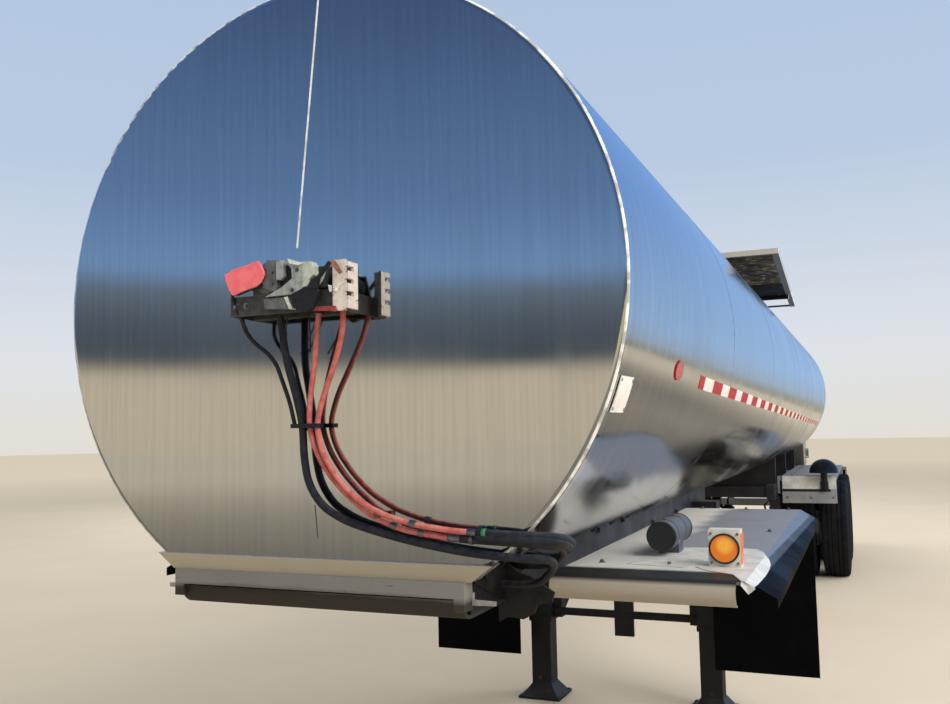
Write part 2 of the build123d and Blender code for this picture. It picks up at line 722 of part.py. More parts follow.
def work_platform():
    """Slatted deck round the manway, its side beams running on behind it."""
    top = PLATFORM_BOTTOM + PLATFORM_DEPTH
    z = (PLATFORM_BOTTOM, top)
    front = PLATFORM_FRONT_STATION
    rear = PLATFORM_REAR_STATION
    end = front + PLATFORM_BEAM_LENGTH
    w = PLATFORM_FRAME
    beam = [
        (front, side_beam_y(front)),
        (end, side_beam_y(end)),
        (end, side_beam_y(end) - w),
        (front, side_beam_y(front) - w),
    ]
    side = from_above(beam, z)
    inner = side_beam_y(rear) - w
    half = PLATFORM_HALF_WIDTH - w / 2
    frame = side + mirrored(side) + block((front, front + w), (-half, half), z)
    low = PLATFORM_BOTTOM - PLATFORM_REAR_DROP
    frame = frame + block((rear - w, rear), (-inner - w / 2, inner + w / 2), (low, top))
    pitch = 2 * inner / PLATFORM_SLAT_COUNT
    for n in range(PLATFORM_SLAT_COUNT + 1):
        slat = around(n * pitch - inner, PLATFORM_SLAT_WIDTH)
        frame = frame + block((front + w, rear - w), slat, (top - PLATFORM_SLAT_DEPTH, top))
    for station in PLATFORM_LEG_STATIONS:
        ends = around(station, PLATFORM_LEG_WIDTH)
        reach = side_beam_y(ends[1]) - w / 2
        bar = block(ends, (-reach, reach), (PLATFORM_BOTTOM, top - PLATFORM_SLAT_DEPTH))
        half = PLATFORM_LEG_HALF_SPAN
        barrel_top = TANK_AXIS_HEIGHT + TANK_RADIUS
        leg = block(ends, (-half, half), (barrel_top - PLATFORM_LEG_DEPTH, PLATFORM_BOTTOM))
        frame = frame + bar + clear_of_barrel(leg)
    gap = MANWAY_OUTER_RADIUS + PLATFORM_MANWAY_GAP
    stations = (MANWAY_STATION - gap, LID_PIN_STATION + PLATFORM_HINGE_GAP)
    return frame - block(stations, (-gap, gap), (PLATFORM_BOTTOM - PAST, top + PAST))


def side_ladder():
    """Two stringers that bend in towards the platform, with rungs between them."""
    ends = around(MANWAY_STATION, LADDER_WIDTH)
    reach = -side_beam_y(ends[0]) - LADDER_TUBE_RADIUS
    top = PLATFORM_BOTTOM + PLATFORM_DEPTH / 2
    deck_y = side_beam_y(ends[1]) - PLATFORM_FRAME / 4
    shelf = block(ends, (reach - LADDER_TUBE_RADIUS / 2, -deck_y), (PLATFORM_BOTTOM, top))
    ladder = shelf - work_platform()
    for station in ends:
        low = (station, -LADDER_OUTER_Y, LADDER_BOTTOM)
        bend = (station, -LADDER_OUTER_Y, LADDER_BEND_HEIGHT)
        high = (station, reach, top)
        ball = Pos(x_at(station), -LADDER_OUTER_Y, LADDER_BEND_HEIGHT) * Sphere(LADDER_TUBE_RADIUS)
        ladder = ladder + rod(low, bend, LADDER_TUBE_RADIUS) + ball + rod(bend, high, LADDER_TUBE_RADIUS)
        for z in (TANK_AXIS_HEIGHT - LADDER_STAY_LOW, TANK_AXIS_HEIGHT + LADDER_STAY_HIGH):
            stay = rod((station, -LADDER_OUTER_Y, z), (station, -TANK_RADIUS / 2, z), LADDER_RUNG_RADIUS)
            ladder = ladder + clear_of_barrel(stay)
    slope = (-LADDER_OUTER_Y - reach) / (top - LADDER_BEND_HEIGHT)
    count = int((top - LADDER_BOTTOM) / LADDER_RUNG_SPACING)
    for n in range(count):
        z = LADDER_BOTTOM + (n + 0.5) * LADDER_RUNG_SPACING
        y = -LADDER_OUTER_Y - slope * max(0, z - LADDER_BEND_HEIGHT)
        ladder = ladder + drum_along_x(ends, y, z, LADDER_RUNG_RADIUS)
    return ladder


# Coupler and front frame

def coupler_frame():
    inner = FRAME_HALF_WIDTH - FRAME_RAIL_THICKNESS
    plate_top = COUPLER_HEIGHT + COUPLER_PLATE_THICKNESS
    frame = None
    for side in (-1, 1):
        y = span(inner, FRAME_HALF_WIDTH, side)
        front = block((APRON_DEPTH - APRON_REACH, COUPLER_LENGTH), y, (plate_top, COUPLER_TOP))
        rear = block((COUPLER_LENGTH, FRAME_REAR_STATION), y, (FRAME_BOTTOM, COUPLER_TOP))
        rail = front + clear_of_barrel(rear)
        frame = rail if frame is None else frame + rail
    for n in range(COUPLER_CROSS_COUNT):
        ends = around(COUPLER_CROSS_FRONT + n * COUPLER_CROSS_PITCH, CROSS_PLATE)
        frame = frame + block(ends, (-inner, inner), (plate_top, COUPLER_TOP))
    for station in FRAME_CROSS_STATIONS:
        plate = block(around(station, CROSS_PLATE), (-inner, inner), (FRAME_BOTTOM, COUPLER_TOP))
        frame = frame + clear_of_barrel(plate)
    return frame


def coupler_apron():
    low = COUPLER_TOP - APRON_HEIGHT
    profile = [
        (-APRON_TOP_HALF_WIDTH, COUPLER_TOP),
        (-APRON_BOTTOM_HALF_WIDTH, low),
        (APRON_BOTTOM_HALF_WIDTH, low),
        (APRON_TOP_HALF_WIDTH, COUPLER_TOP),
    ]
    return lengthwise(profile, (-APRON_REACH, APRON_DEPTH - APRON_REACH))


def coupler_plate():
    """Bottom plate with an upturned nose, and the lip over the nose with its end returns."""
    low = COUPLER_HEIGHT
    t = COUPLER_PLATE_THICKNESS
    r = COUPLER_NOSE_RADIUS
    inner = r - t
    c = math.cos(math.radians(45))
    x0 = x_at(COUPLER_NOSE_STATION)
    x1 = x_at(COUPLER_LENGTH)
    edges = [
        Line((x1, low), (x0, low)),
        ThreePointArc((x0, low), (x0 + r * c, low + r - r * c), (x0 + r, low + r)),
        Line((x0 + r, low + r), (x0 + inner, low + r)),
        ThreePointArc((x0 + inner, low + r), (x0 + inner * c, low + r - inner * c), (x0, low + t)),
        Line((x0, low + t), (x1, low + t)),
        Line((x1, low + t), (x1, low)),
    ]
    plate = extrude(Plane.XZ * make_face(edges), amount=FRAME_HALF_WIDTH, both=True)
    lip_top = COUPLER_TOP - APRON_HEIGHT
    stations = (-LIP_REACH, LIP_DEPTH - LIP_REACH)
    lip = block(stations, (-LIP_HALF_WIDTH, LIP_HALF_WIDTH), (lip_top - LIP_HEIGHT, lip_top))
    for side in (-1, 1):
        y = span(LIP_HALF_WIDTH - LIP_RETURN, LIP_HALF_WIDTH, side)
        lip = lip + block(stations, y, (low + r / 2, lip_top))
    return plate + lip


def kingpin():
    shoulder = -KINGPIN_SHOULDER_LENGTH
    neck = shoulder - KINGPIN_NECK_LENGTH
    end = neck - KINGPIN_COLLAR_LENGTH
    points = [
        (0, 0),
        (KINGPIN_SHOULDER_RADIUS, 0),
        (KINGPIN_SHOULDER_RADIUS, shoulder),
        (KINGPIN_NECK_RADIUS, shoulder),
        (KINGPIN_NECK_RADIUS, neck),
        (KINGPIN_COLLAR_RADIUS, neck),
        (KINGPIN_COLLAR_RADIUS, end),
        (0, end),
    ]
    pin = revolve(Plane.XZ * make_face(Polyline(*points, close=True)), Axis.Z)
    return Pos(x_at(KINGPIN_STATION), 0, COUPLER_HEIGHT) * pin


# Landing gear

def landing_legs():
    y = FRAME_HALF_WIDTH + LEG_OUTER / 2
    s = LANDING_STATION
    bore = LEG_OUTER - 2 * LEG_WALL
    leg = block(around(s, LEG_OUTER), around(y, LEG_OUTER), (LEG_BOTTOM, LEG_TOP))
    leg = leg - block(around(s, bore), around(y, bore), (LEG_BOTTOM - PAST, LEG_TOP - LEG_WALL))
    side = y + LEG_OUTER / 2
    top = LEG_TOP - GEARBOX_TOP
    gearbox = block(
        around(s, LEG_OUTER - 2 * GEARBOX_INSET),
        (side, side + GEARBOX_DEPTH),
        (top - GEARBOX_HEIGHT, top),
    )
    return both_sides(leg + gearbox)


def landing_feet():
    y = FRAME_HALF_WIDTH + LEG_OUTER / 2
    s = LANDING_STATION
    tube = LEG_OUTER - 2 * LEG_WALL - 2 * SEAT_GAP
    inner = block(around(s, tube), around(y, tube), (FOOT_THICKNESS, LEG_BOTTOM + LEG_OVERLAP))
    pad = block(around(s, FOOT_SIZE), around(y, FOOT_SIZE), (0, FOOT_THICKNESS))
    middle = Pos(x_at(s), y, FOOT_THICKNESS)
    flare = loft([
        middle * Rectangle(FOOT_FLARE_SIZE, FOOT_FLARE_SIZE),
        middle * Pos(0, 0, FOOT_FLARE_HEIGHT) * Rectangle(tube, tube),
    ])
    return both_sides(inner + pad + flare)


def landing_braces():
    """Cross tube, K braces, centre strut and the long braces back to the barrel."""
    s = LANDING_STATION
    y = FRAME_HALF_WIDTH
    r = BRACE_RADIUS
    top = FRAME_BOTTOM
    low = CROSS_TUBE_HEIGHT
    braces = drum_along_y(s, (-y, y), low, r)
    braces = braces + block(around(s, STRUT_THICKNESS), around(0, STRUT_WIDTH), (low - STRUT_DROP, top))
    for side in (-1, 1):
        diagonal = rod((s, 0, top - BRACE_OFFSET), (s, side * y, low + BRACE_OFFSET), r)
        start = (s + LEG_OUTER / 2 - r / 2, side * (y - 1.25 * r), low)
        back = rod(start, (s + BRACE_RUN, side * BRACE_END_Y, TANK_BOTTOM + BRACE_END_RISE), r)
        gusset_z = (low - GUSSET_LOW, low + GUSSET_HIGH)
        gusset = block((s, s + LEG_OUTER / 2), span(y - GUSSET_WIDTH, y, side), gusset_z)
        leg = block((s - LEG_OUTER, s + LEG_OUTER), span(y, y + LEG_OUTER, side), (0, LEG_TOP))
        braces = braces + (diagonal - leg) + clear_of_barrel(back) + gusset
    return braces


def landing_crank():
    y = FRAME_HALF_WIDTH + LEG_OUTER + GEARBOX_DEPTH
    s = LANDING_STATION
    z = LEG_TOP - CRANK_DROP
    points = [
        (s, y, z),
        (s, y + CRANK_SHAFT, z),
        (s, y + CRANK_SHAFT, z - CRANK_LENGTH),
        (s, y + CRANK_SHAFT + CRANK_GRIP, z - CRANK_LENGTH),
    ]
    return bent_rod(points, CRANK_RADIUS, 3 * CRANK_RADIUS)


# Front fenders

def front_fenders():
    """Sheet with its outer edge turned down and a rolled half-pipe along the front."""
    t = FENDER_SHEET
    top = FENDER_TOP
    drop = top - FENDER_EDGE_DROP
    inner_y = FRAME_HALF_WIDTH + SEAT_GAP
    profile = [
        (inner_y, top),
        (FENDER_FLAT_OUTER_Y, top),
        (FENDER_OUTER_Y, drop),
        (FENDER_OUTER_Y, drop - FENDER_EDGE_SKIRT),
        (FENDER_OUTER_Y - t, drop - FENDER_EDGE_SKIRT),
        (FENDER_OUTER_Y - t, drop - t / 2),
        (FENDER_FLAT_OUTER_Y, top - t),
        (inner_y, top - t),
    ]
    sheet = lengthwise(profile, (FENDER_FRONT_STATION, FENDER_REAR_STATION))
    r = FENDER_LIP_RADIUS
    lip_y = (inner_y, FENDER_FLAT_OUTER_Y - FENDER_LIP_INSET)
    pipe = drum_along_y(FENDER_FRONT_STATION, lip_y, top - r, r)
    pipe = pipe - drum_along_y(FENDER_FRONT_STATION, (lip_y[0] - PAST, lip_y[1] + PAST), top - r, r - t)
    behind = (FENDER_FRONT_STATION, FENDER_FRONT_STATION + 2 * r)
    half = block(behind, (0, FENDER_OUTER_Y), (top - 3 * r, top + r))
    return both_sides(sheet + (pipe - half))


def fender_supports():
    top = FENDER_TOP - FENDER_SHEET
    bars = []
    for station in FRONT_SUPPORT_STATIONS:
        ends = around(station, SUPPORT_SIZE)
        bars += both_sides(block(ends, (FRAME_HALF_WIDTH, SUPPORT_END_Y), (top - SUPPORT_SIZE, top)))
    rail_y = SPRING_Y + RAIL_WIDTH / 2
    top = REAR_FENDER_TOP - FENDER_SHEET
    for station in REAR_SUPPORT_STATIONS:
        ends = around(station, SUPPORT_SIZE)
        arm = block(ends, (rail_y, REAR_FENDER_OUTER_Y - REAR_SUPPORT_INSET), (top - SUPPORT_SIZE, top))
        post = block(ends, (rail_y, rail_y + SUPPORT_POST), (RAIL_BOTTOM + REAR_SUPPORT_LAP, top))
        bars += both_sides(arm + post)
    return bars


def lamp_housings():
    z = (FENDER_TOP, FENDER_TOP + LAMP_HEIGHT)
    front = LAMP_STATION - LAMP_DEPTH / 2
    body = block(around(LAMP_STATION, LAMP_DEPTH), around(LAMP_Y, LAMP_WIDTH), z)
    seat = (front - LAMP_DEPTH, front + LAMP_LENS_SEAT)
    return both_sides(body - drum_along_x(seat, LAMP_Y, sum(z) / 2, LAMP_LENS_RADIUS + SEAT_GAP))


def lamp_lenses():
    seat = LAMP_STATION - LAMP_DEPTH / 2 + LAMP_LENS_SEAT
    z = FENDER_TOP + LAMP_HEIGHT / 2
    return both_sides(drum_along_x((seat - LAMP_LENS_THICKNESS, seat), LAMP_Y, z, LAMP_LENS_RADIUS))


def fender_canisters():
    s = CANISTER_STATION
    z = FENDER_TOP + CANISTER_RADIUS + CANISTER_RISE
    can = drum_along_x(around(s, CANISTER_LENGTH), CANISTER_Y, z, CANISTER_RADIUS)
    foot_z = (FENDER_TOP, z - CANISTER_RADIUS / 2)
    foot = block(around(s, CANISTER_FOOT_LENGTH), around(CANISTER_Y, CANISTER_FOOT_WIDTH), foot_z)
    return both_sides(can + foot)


def mud_flaps():
    flap_y = (FLAP_INNER_Y, FLAP_OUTER_Y)
    front = FRONT_SUPPORT_STATIONS[-1] + SUPPORT_SIZE / 2
    places = (
        (front, FENDER_TOP - FLAP_FRONT_DROP),
        (REAR_FENDER_REAR_STATION, REAR_FENDER_TOP - FLAP_REAR_DROP),
    )
    sheets = []
    for station, top in places:
        sheets += both_sides(block((station, station + FLAP_THICKNESS), flap_y, (FLAP_BOTTOM, top)))
    return sheets


# Running gear

def tyre_ring(y):
    """Tyre section revolved about the axle, in coordinates about the wheel's centre."""
    outer = TYRE_DIAMETER / 2
    half = TYRE_WIDTH / 2
    tread = TYRE_TREAD_WIDTH / 2
    bead = RIM_HALF_WIDTH - TYRE_BEAD_INSET
    points = [
        (RIM_RADIUS, -bead),
        (TYRE_BULGE_RADIUS, -half),
        (outer - TYRE_SHOULDER_DROP, TYRE_SHOULDER_INSET - half),
        (outer, -tread),
        (outer, tread),
        (outer - TYRE_SHOULDER_DROP, half - TYRE_SHOULDER_INSET),
        (TYRE_BULGE_RADIUS, half),
        (RIM_RADIUS, bead),
    ]
    return Pos(0, y, 0) * revolve(make_face(Polyline(*points, close=True)), Axis.Y)


def tyre_pair():
    return [tyre_ring(WHEEL_FACE_Y + DUAL_SPACING / 2), tyre_ring(WHEEL_FACE_Y - DUAL_SPACING / 2)]


def rim_and_disc():
    """One wheel of a pair, as a ring about Y with its mounting face at Y = 0."""
    middle = DUAL_SPACING / 2
    low = middle - RIM_HALF_WIDTH
    high = middle + RIM_HALF_WIDTH
    inner = RIM_RADIUS - RIM_WALL
    well = middle - RIM_WELL_OFFSET
    rim = [
        (RIM_FLANGE_RADIUS, low),
        (RIM_RADIUS, low + TYRE_BEAD_INSET),
        (RIM_RADIUS, high - TYRE_BEAD_INSET),
        (RIM_FLANGE_RADIUS, high),
        (inner, high),
        (inner, low),
    ]
    disc = [
        (DISC_BORE_RADIUS, 0),
        (DISC_FLAT_RADIUS, 0),
        (inner + RIM_WALL / 4, well),
        (inner + RIM_WALL / 4, well + DISC_ROOT),
        (DISC_FLAT_RADIUS, DISC_THICKNESS),
        (DISC_BORE_RADIUS, DISC_THICKNESS),
    ]
    ring = revolve(make_face(Polyline(*rim, close=True)), Axis.Y)
    ring = ring + revolve(make_face(Polyline(*disc, close=True)), Axis.Y)
    hole = Pos(HAND_HOLE_CIRCLE, middle / 2, 0) * Rot(90, 0, 0) * Cylinder(HAND_HOLE_RADIUS, middle)
    for n in range(HAND_HOLE_COUNT):
        ring = ring - Rot(0, n * 360 / HAND_HOLE_COUNT, 0) * hole
    return ring


def wheel_pair():
    """Two wheels back to back on one hub, with the brake drum inboard of them."""
    bore = SPINDLE_RADIUS + RUNNING_CLEARANCE
    drum_outer = -2 * DISC_THICKNESS
    drum_inner = drum_outer - DRUM_LENGTH
    cap_end = HUB_REACH + HUB_CAP_LENGTH
    points = [
        (bore, drum_inner),
        (DRUM_RADIUS, drum_inner),
        (DRUM_RADIUS, -DRUM_SHOULDER),
        (DRUM_NECK_RADIUS, drum_outer),
        (DRUM_NECK_RADIUS, -DISC_THICKNESS),
        (HUB_RADIUS, -DISC_THICKNESS),
        (HUB_RADIUS, HUB_REACH),
        (HUB_CAP_RADIUS, cap_end),
        (0, cap_end),
        (0, cap_end - HUB_CAP_WALL),
        (bore, cap_end - HUB_CAP_WALL),
    ]
    hub = revolve(make_face(Polyline(*points, close=True)), Axis.Y)
    outer = rim_and_disc()
    inner = mirror(outer, about=Plane.XZ)
    return Pos(0, WHEEL_FACE_Y, 0) * (hub + outer + inner)


def at_axle(shape, station, side):
    placed = Pos(x_at(station), 0, AXLE_HEIGHT) * shape
    return placed if side > 0 else mirrored(placed)


def axle(station):
    """Tube with a spindle, a backing plate and a spring seat at each end."""
    plate_y = WHEEL_FACE_Y - 2 * DISC_THICKNESS - DRUM_LENGTH - MOVING_CLEARANCE
    end_y = WHEEL_FACE_Y + HUB_REACH + HUB_CAP_LENGTH - HUB_CAP_WALL - MOVING_CLEARANCE
    beam = drum_along_y(station, (-plate_y, plate_y), AXLE_HEIGHT, AXLE_TUBE_RADIUS)
    beam = beam + drum_along_y(station, (-end_y, end_y), AXLE_HEIGHT, SPINDLE_RADIUS)
    half = SPRING_WIDTH / 2 + SEAT_MARGIN
    seat_z = (AXLE_HEIGHT - SEAT_DROP, SPRING_SEAT_TOP)
    for side in (-1, 1):
        plate = span(plate_y - BACKING_PLATE_THICKNESS, plate_y, side)
        beam = beam + drum_along_y(station, plate, AXLE_HEIGHT, BACKING_PLATE_RADIUS)
        seat_y = span(SPRING_Y - half, SPRING_Y + half, side)
        beam = beam + block(around(station, SEAT_LENGTH), seat_y, seat_z)
    return beam


def leaf_spring(station):
    """Leaf pack bowed upwards at its ends, seated on the axle."""
    pack = None
    x0 = x_at(station)
    t = LEAF_THICKNESS
    sag_radius = ((SPRING_LENGTH / 2) ** 2 + SPRING_CAMBER ** 2) / (2 * SPRING_CAMBER)
    for n, share in enumerate(reversed(LEAF_SHARES)):
        half = share * SPRING_LENGTH / 2
        low = n * t
        end = low + sag_radius - math.sqrt(sag_radius ** 2 - half ** 2)
        edges = [
            ThreePointArc((x0 - half, end), (x0, low), (x0 + half, end)),
            Line((x0 + half, end), (x0 + half, end + t)),
            ThreePointArc((x0 + half, end + t), (x0, low + t), (x0 - half, end + t)),
            Line((x0 - half, end + t), (x0 - half, end)),
        ]
        leaf = extrude(Plane.XZ * make_face(edges), amount=SPRING_WIDTH / 2, both=True)
        pack = leaf if pack is None else pack + leaf
    return Pos(0, SPRING_Y, SPRING_SEAT_TOP) * pack


def leaf_springs():
    springs = []
    for station in AXLE_STATIONS:
        springs += both_sides(leaf_spring(station))
    return springs


def hanger(station):
    """Cast hanger over a spring end, slotted for the spring and for the torque rod's eye."""
    half = HANGER_LENGTH / 2
    low = SPRING_END_TOP - TORQUE_ROD_DROP - TORQUE_EYE_RADIUS
    points = [
        (station - half - HANGER_FLARE, RAIL_BOTTOM),
        (station + half + HANGER_FLARE, RAIL_BOTTOM),
        (station + half, low),
        (station - half, low),
    ]
    ends = around(station, 2 * (HANGER_LENGTH + HANGER_FLARE))
    slot = block(ends, around(SPRING_Y, HANGER_SLOT), (0, SPRING_END_TOP + SEAT_GAP))
    return across(points, around(SPRING_Y, HANGER_WIDTH)) - slot


def centre_hanger():
    """Two plates with a pin between them, and the equaliser that rocks on it."""
    middle = MIDDLE_STATION
    pin = EQUALISER_PIN_HEIGHT
    y = around(SPRING_Y, HANGER_WIDTH)
    waist = EQUALISER_WAIST
    plate = [
        (middle - CENTRE_PLATE_TOP, RAIL_BOTTOM),
        (middle + CENTRE_PLATE_TOP, RAIL_BOTTOM),
        (middle + waist, pin - waist),
        (middle - waist, pin - waist),
    ]
    shape = drum_along_y(middle, y, pin, EQUALISER_PIN_RADIUS)
    for limits in ((y[0], y[0] + CENTRE_PLATE), (y[1] - CENTRE_PLATE, y[1])):
        shape = shape + across(plate, limits)
    half = EQUALISER_HALF_LENGTH
    pad = half - EQUALISER_PAD
    low = SPRING_END_TOP + SEAT_GAP
    high = SPRING_END_TOP + EQUALISER_END_DEPTH
    rocker = [
        (middle - half, low),
        (middle - pad, low),
        (middle, pin - EQUALISER_BELLY),
        (middle + pad, low),
        (middle + half, low),
        (middle + half, high),
        (middle + waist, pin + EQUALISER_CROWN),
        (middle - waist, pin + EQUALISER_CROWN),
        (middle - half, high),
    ]
    return shape + across(rocker, around(SPRING_Y, EQUALISER_THICKNESS))


def spring_hangers():
    first, last = AXLE_STATIONS
    pieces = [hanger(first - SPRING_END_REACH), hanger(last + SPRING_END_REACH), centre_hanger()]
    return [part for piece in pieces for part in both_sides(piece)]


def torque_rods():
    """Rods from the hangers to the axle seats, which hold the axles square."""
    rods = []
    low = AXLE_HEIGHT + TORQUE_ROD_RISE
    high = SPRING_END_TOP - TORQUE_ROD_DROP
    eye_y = around(SPRING_Y, HANGER_SLOT - 2 * SEAT_GAP)
    for station, direction in zip(AXLE_STATIONS, (-1, 1)):
        end = station + direction * SPRING_END_REACH
        bar = rod((station, SPRING_Y, low), (end, SPRING_Y, high), TORQUE_ROD_RADIUS)
        seat = block(around(station, SEAT_LENGTH), (0, 2 * SPRING_Y), (0, 2 * AXLE_HEIGHT))
        rods += both_sides(bar - seat + drum_along_y(end, eye_y, high, TORQUE_EYE_RADIUS))
    return rods


def axles():
    return [axle(station) for station in AXLE_STATIONS]


def brake_chambers():
    cans = []
    z = AXLE_HEIGHT + CHAMBER_RISE
    arm_y = around(CHAMBER_Y, CHAMBER_ARM_WIDTH)
    for station in AXLE_STATIONS:
        s = station + CHAMBER_FORWARD
        can = drum_along_x(around(s, CHAMBER_LENGTH), CHAMBER_Y, z, CHAMBER_RADIUS)
        arm = block((station, s), arm_y, around(AXLE_HEIGHT, CHAMBER_ARM_THICKNESS))
        tube = drum_along_y(station, (0, 2 * CHAMBER_Y), AXLE_HEIGHT, AXLE_TUBE_RADIUS + SEAT_GAP)
        cans += both_sides(can + (arm - tube))
    return cans


def rear_subframe():
    rail_y = around(SPRING_Y, RAIL_WIDTH)
    frame = block((RAIL_FRONT_STATION, RAIL_REAR_STATION), rail_y, (RAIL_BOTTOM, RAIL_TOP))
    frame = frame + mirrored(frame)
    top = RAIL_TOP - RAIL_CROSS_DROP
    for station in RAIL_CROSS_STATIONS:
        ends = around(station, RAIL_CROSS_WIDTH)
        frame = frame + block(ends, (-rail_y[0], rail_y[0]), (top - RAIL_CROSS_DEPTH, top))
    for station in SADDLE_STATIONS:
        ends = around(station, SADDLE_THICKNESS)
        z = (RAIL_TOP, TANK_AXIS_HEIGHT - TANK_RADIUS / 2)
        saddle = block(ends, (-SADDLE_HALF_WIDTH, SADDLE_HALF_WIDTH), z)
        frame = frame + clear_of_barrel(saddle)
    return frame


def air_tanks():
    """Reservoir behind a cross member, with coned ends."""
    station = AIR_TANK_CROSS_STATION + RAIL_CROSS_WIDTH / 2 + AIR_TANK_RADIUS + SEAT_GAP
    half = AIR_TANK_LENGTH / 2
    flat = half - AIR_TANK_END
    end = AIR_TANK_RADIUS / 2
    points = [
        (0, -half),
        (end, -half),
        (AIR_TANK_RADIUS, -flat),
        (AIR_TANK_RADIUS, flat),
        (end, half),
        (0, half),
    ]
    tank = revolve(make_face(Polyline(*points, close=True)), Axis.Y)
    return Pos(x_at(station), 0, RAIL_TOP - RAIL_CROSS_DROP - RAIL_CROSS_DEPTH / 2) * tank


def rear_fenders():
    """Box fender: flat top over the tandem with a deep skirt before and behind it."""
    t = FENDER_SHEET
    y = (REAR_FENDER_INNER_Y, REAR_FENDER_OUTER_Y)
    ends = (REAR_FENDER_FRONT_STATION, REAR_FENDER_REAR_STATION)
    low = REAR_FENDER_TOP - REAR_FENDER_SKIRT
    shell = block(ends, y, (low, REAR_FENDER_TOP))
    inside_y = (y[0] - PAST, y[1] + PAST)
    shell = shell - block((ends[0] + t, ends[1] - t), inside_y, (low - PAST, REAR_FENDER_TOP - t))
    edge = block(ends, (y[1] - t, y[1]), (REAR_FENDER_TOP - REAR_FENDER_EDGE, REAR_FENDER_TOP))
    return both_sides(shell + edge)


def dome_lamps():
    """Domed lamp on a post, with a foot fixed to the fender's front skirt."""
    s = REAR_FENDER_FRONT_STATION - DOME_POST_RADIUS - DOME_POST_GAP
    z = REAR_FENDER_TOP + DOME_RISE
    low = REAR_FENDER_TOP - REAR_FENDER_SKIRT / 2
    post = rod((s, DOME_Y, low), (s, DOME_Y, z + DOME_RISE), DOME_POST_RADIUS)
    foot_y = (DOME_Y - DOME_FOOT_HALF_WIDTH, DOME_Y + DOME_FOOT_HALF_WIDTH)
    foot_z = (REAR_FENDER_TOP - DOME_FOOT_BOTTOM, REAR_FENDER_TOP - DOME_FOOT_TOP)
    foot = block((s, REAR_FENDER_FRONT_STATION), foot_y, foot_z)
    half_ball = Sphere(DOME_RADIUS, arc_size1=0, align=(Align.CENTER, Align.CENTER, Align.MIN))
    dome = Pos(x_at(s), DOME_Y, z) * half_ball
    return both_sides(dome + post + foot)


# Rear cabinet, its doors and the outlet

def cabinet_bar(inset, stations):
    """Rounded bar along the trailer, a distance inside the cabinet's outline."""
    middle = (CABINET_TOP + CABINET_BOTTOM) / 2
    section = RectangleRounded(
        2 * (CABINET_HALF_WIDTH - inset),
        CABINET_HEIGHT - 2 * inset,
        CABINET_CORNER - inset,
    )
    plane = Plane(origin=(x_at(stations[1]), 0, middle), x_dir=(0, 1, 0), z_dir=(1, 0, 0))
    return plane * extrude(section, amount=stations[1] - stations[0])


def hinge_brackets(side):
    """Cabinet's half of each hinge: two arms and the pin between them."""
    station = DOOR_STATION + DOOR_THICKNESS / 2
    y = side * (CABINET_HALF_WIDTH + HINGE_OFFSET)
    wall = CABINET_HALF_WIDTH - CABINET_WALL / 2
    root_y = span(wall, CABINET_HALF_WIDTH + HINGE_OFFSET + KNUCKLE_RADIUS, side)
    start = CABINET_REAR_STATION - HINGE_ARM_LENGTH
    reach = KNUCKLE_LENGTH / 2 + MOVING_CLEARANCE
    arms = []
    for rise in HINGE_RISES:
        z = CABINET_BOTTOM + rise
        for direction in (-1, 1):
            ends = tuple(sorted((z + direction * reach, z + direction * (reach + HINGE_ARM_THICKNESS))))
            eye = rod((station, y, ends[0]), (station, y, ends[1]), KNUCKLE_RADIUS)
            root = block((start, CABINET_REAR_STATION - MOVING_CLEARANCE), root_y, ends)
            arms.append(block((start, station), around(y, 2 * KNUCKLE_RADIUS), ends) + eye + root)
        arms.append(rod((station, y, z - reach), (station, y, z + reach), HINGE_PIN_RADIUS))
    return arms


def rear_cabinet():
    shell = cabinet_bar(0, (TANK_LENGTH, CABINET_REAR_STATION))
    inside = (TANK_LENGTH + CABINET_FRONT_WALL, CABINET_REAR_STATION + PAST)
    shell = shell - cabinet_bar(CABINET_WALL, inside)
    for piece in hinge_brackets(1) + hinge_brackets(-1):
        shell = shell + piece
    return shell


def cabinet_door(side):
    """Half of the cabinet's rear, with its hinge knuckles and a lever latch."""
    ends = (DOOR_STATION, DOOR_STATION + DOOR_THICKNESS)
    door = cabinet_bar(0, ends)
    other = tuple(sorted((side * DOOR_SPLIT_GAP, -side * 2 * CABINET_HALF_WIDTH)))
    door = door - block((ends[0] - PAST, ends[1] + PAST), other, (0, 2 * CABINET_TOP))
    station = DOOR_STATION + DOOR_THICKNESS / 2
    y = side * (CABINET_HALF_WIDTH + HINGE_OFFSET)
    leaf_y = tuple(sorted((side * (CABINET_HALF_WIDTH - HINGE_LAP), y)))
    for rise in HINGE_RISES:
        z = around(CABINET_BOTTOM + rise, KNUCKLE_LENGTH)
        door = door + rod((station, y, z[0]), (station, y, z[1]), KNUCKLE_RADIUS)
        door = door + block(around(station, HINGE_LEAF), leaf_y, z)
        bore = HINGE_PIN_RADIUS + RUNNING_CLEARANCE
        door = door - rod((station, y, z[0] - PAST), (station, y, z[1] + PAST), bore)
    latch_y = side * LATCH_INSET
    latch_z = CABINET_BOTTOM + LATCH_RISE
    plate = (ends[1], ends[1] + LATCH_PLATE_DEPTH)
    handle = (ends[1], ends[1] + LATCH_REACH)
    door = door + block(plate, around(latch_y, LATCH_PLATE_WIDTH), around(latch_z, LATCH_PLATE_HEIGHT))
    return door + block(handle, around(latch_y, LATCH_HANDLE_WIDTH), around(latch_z, LATCH_HANDLE_HEIGHT))


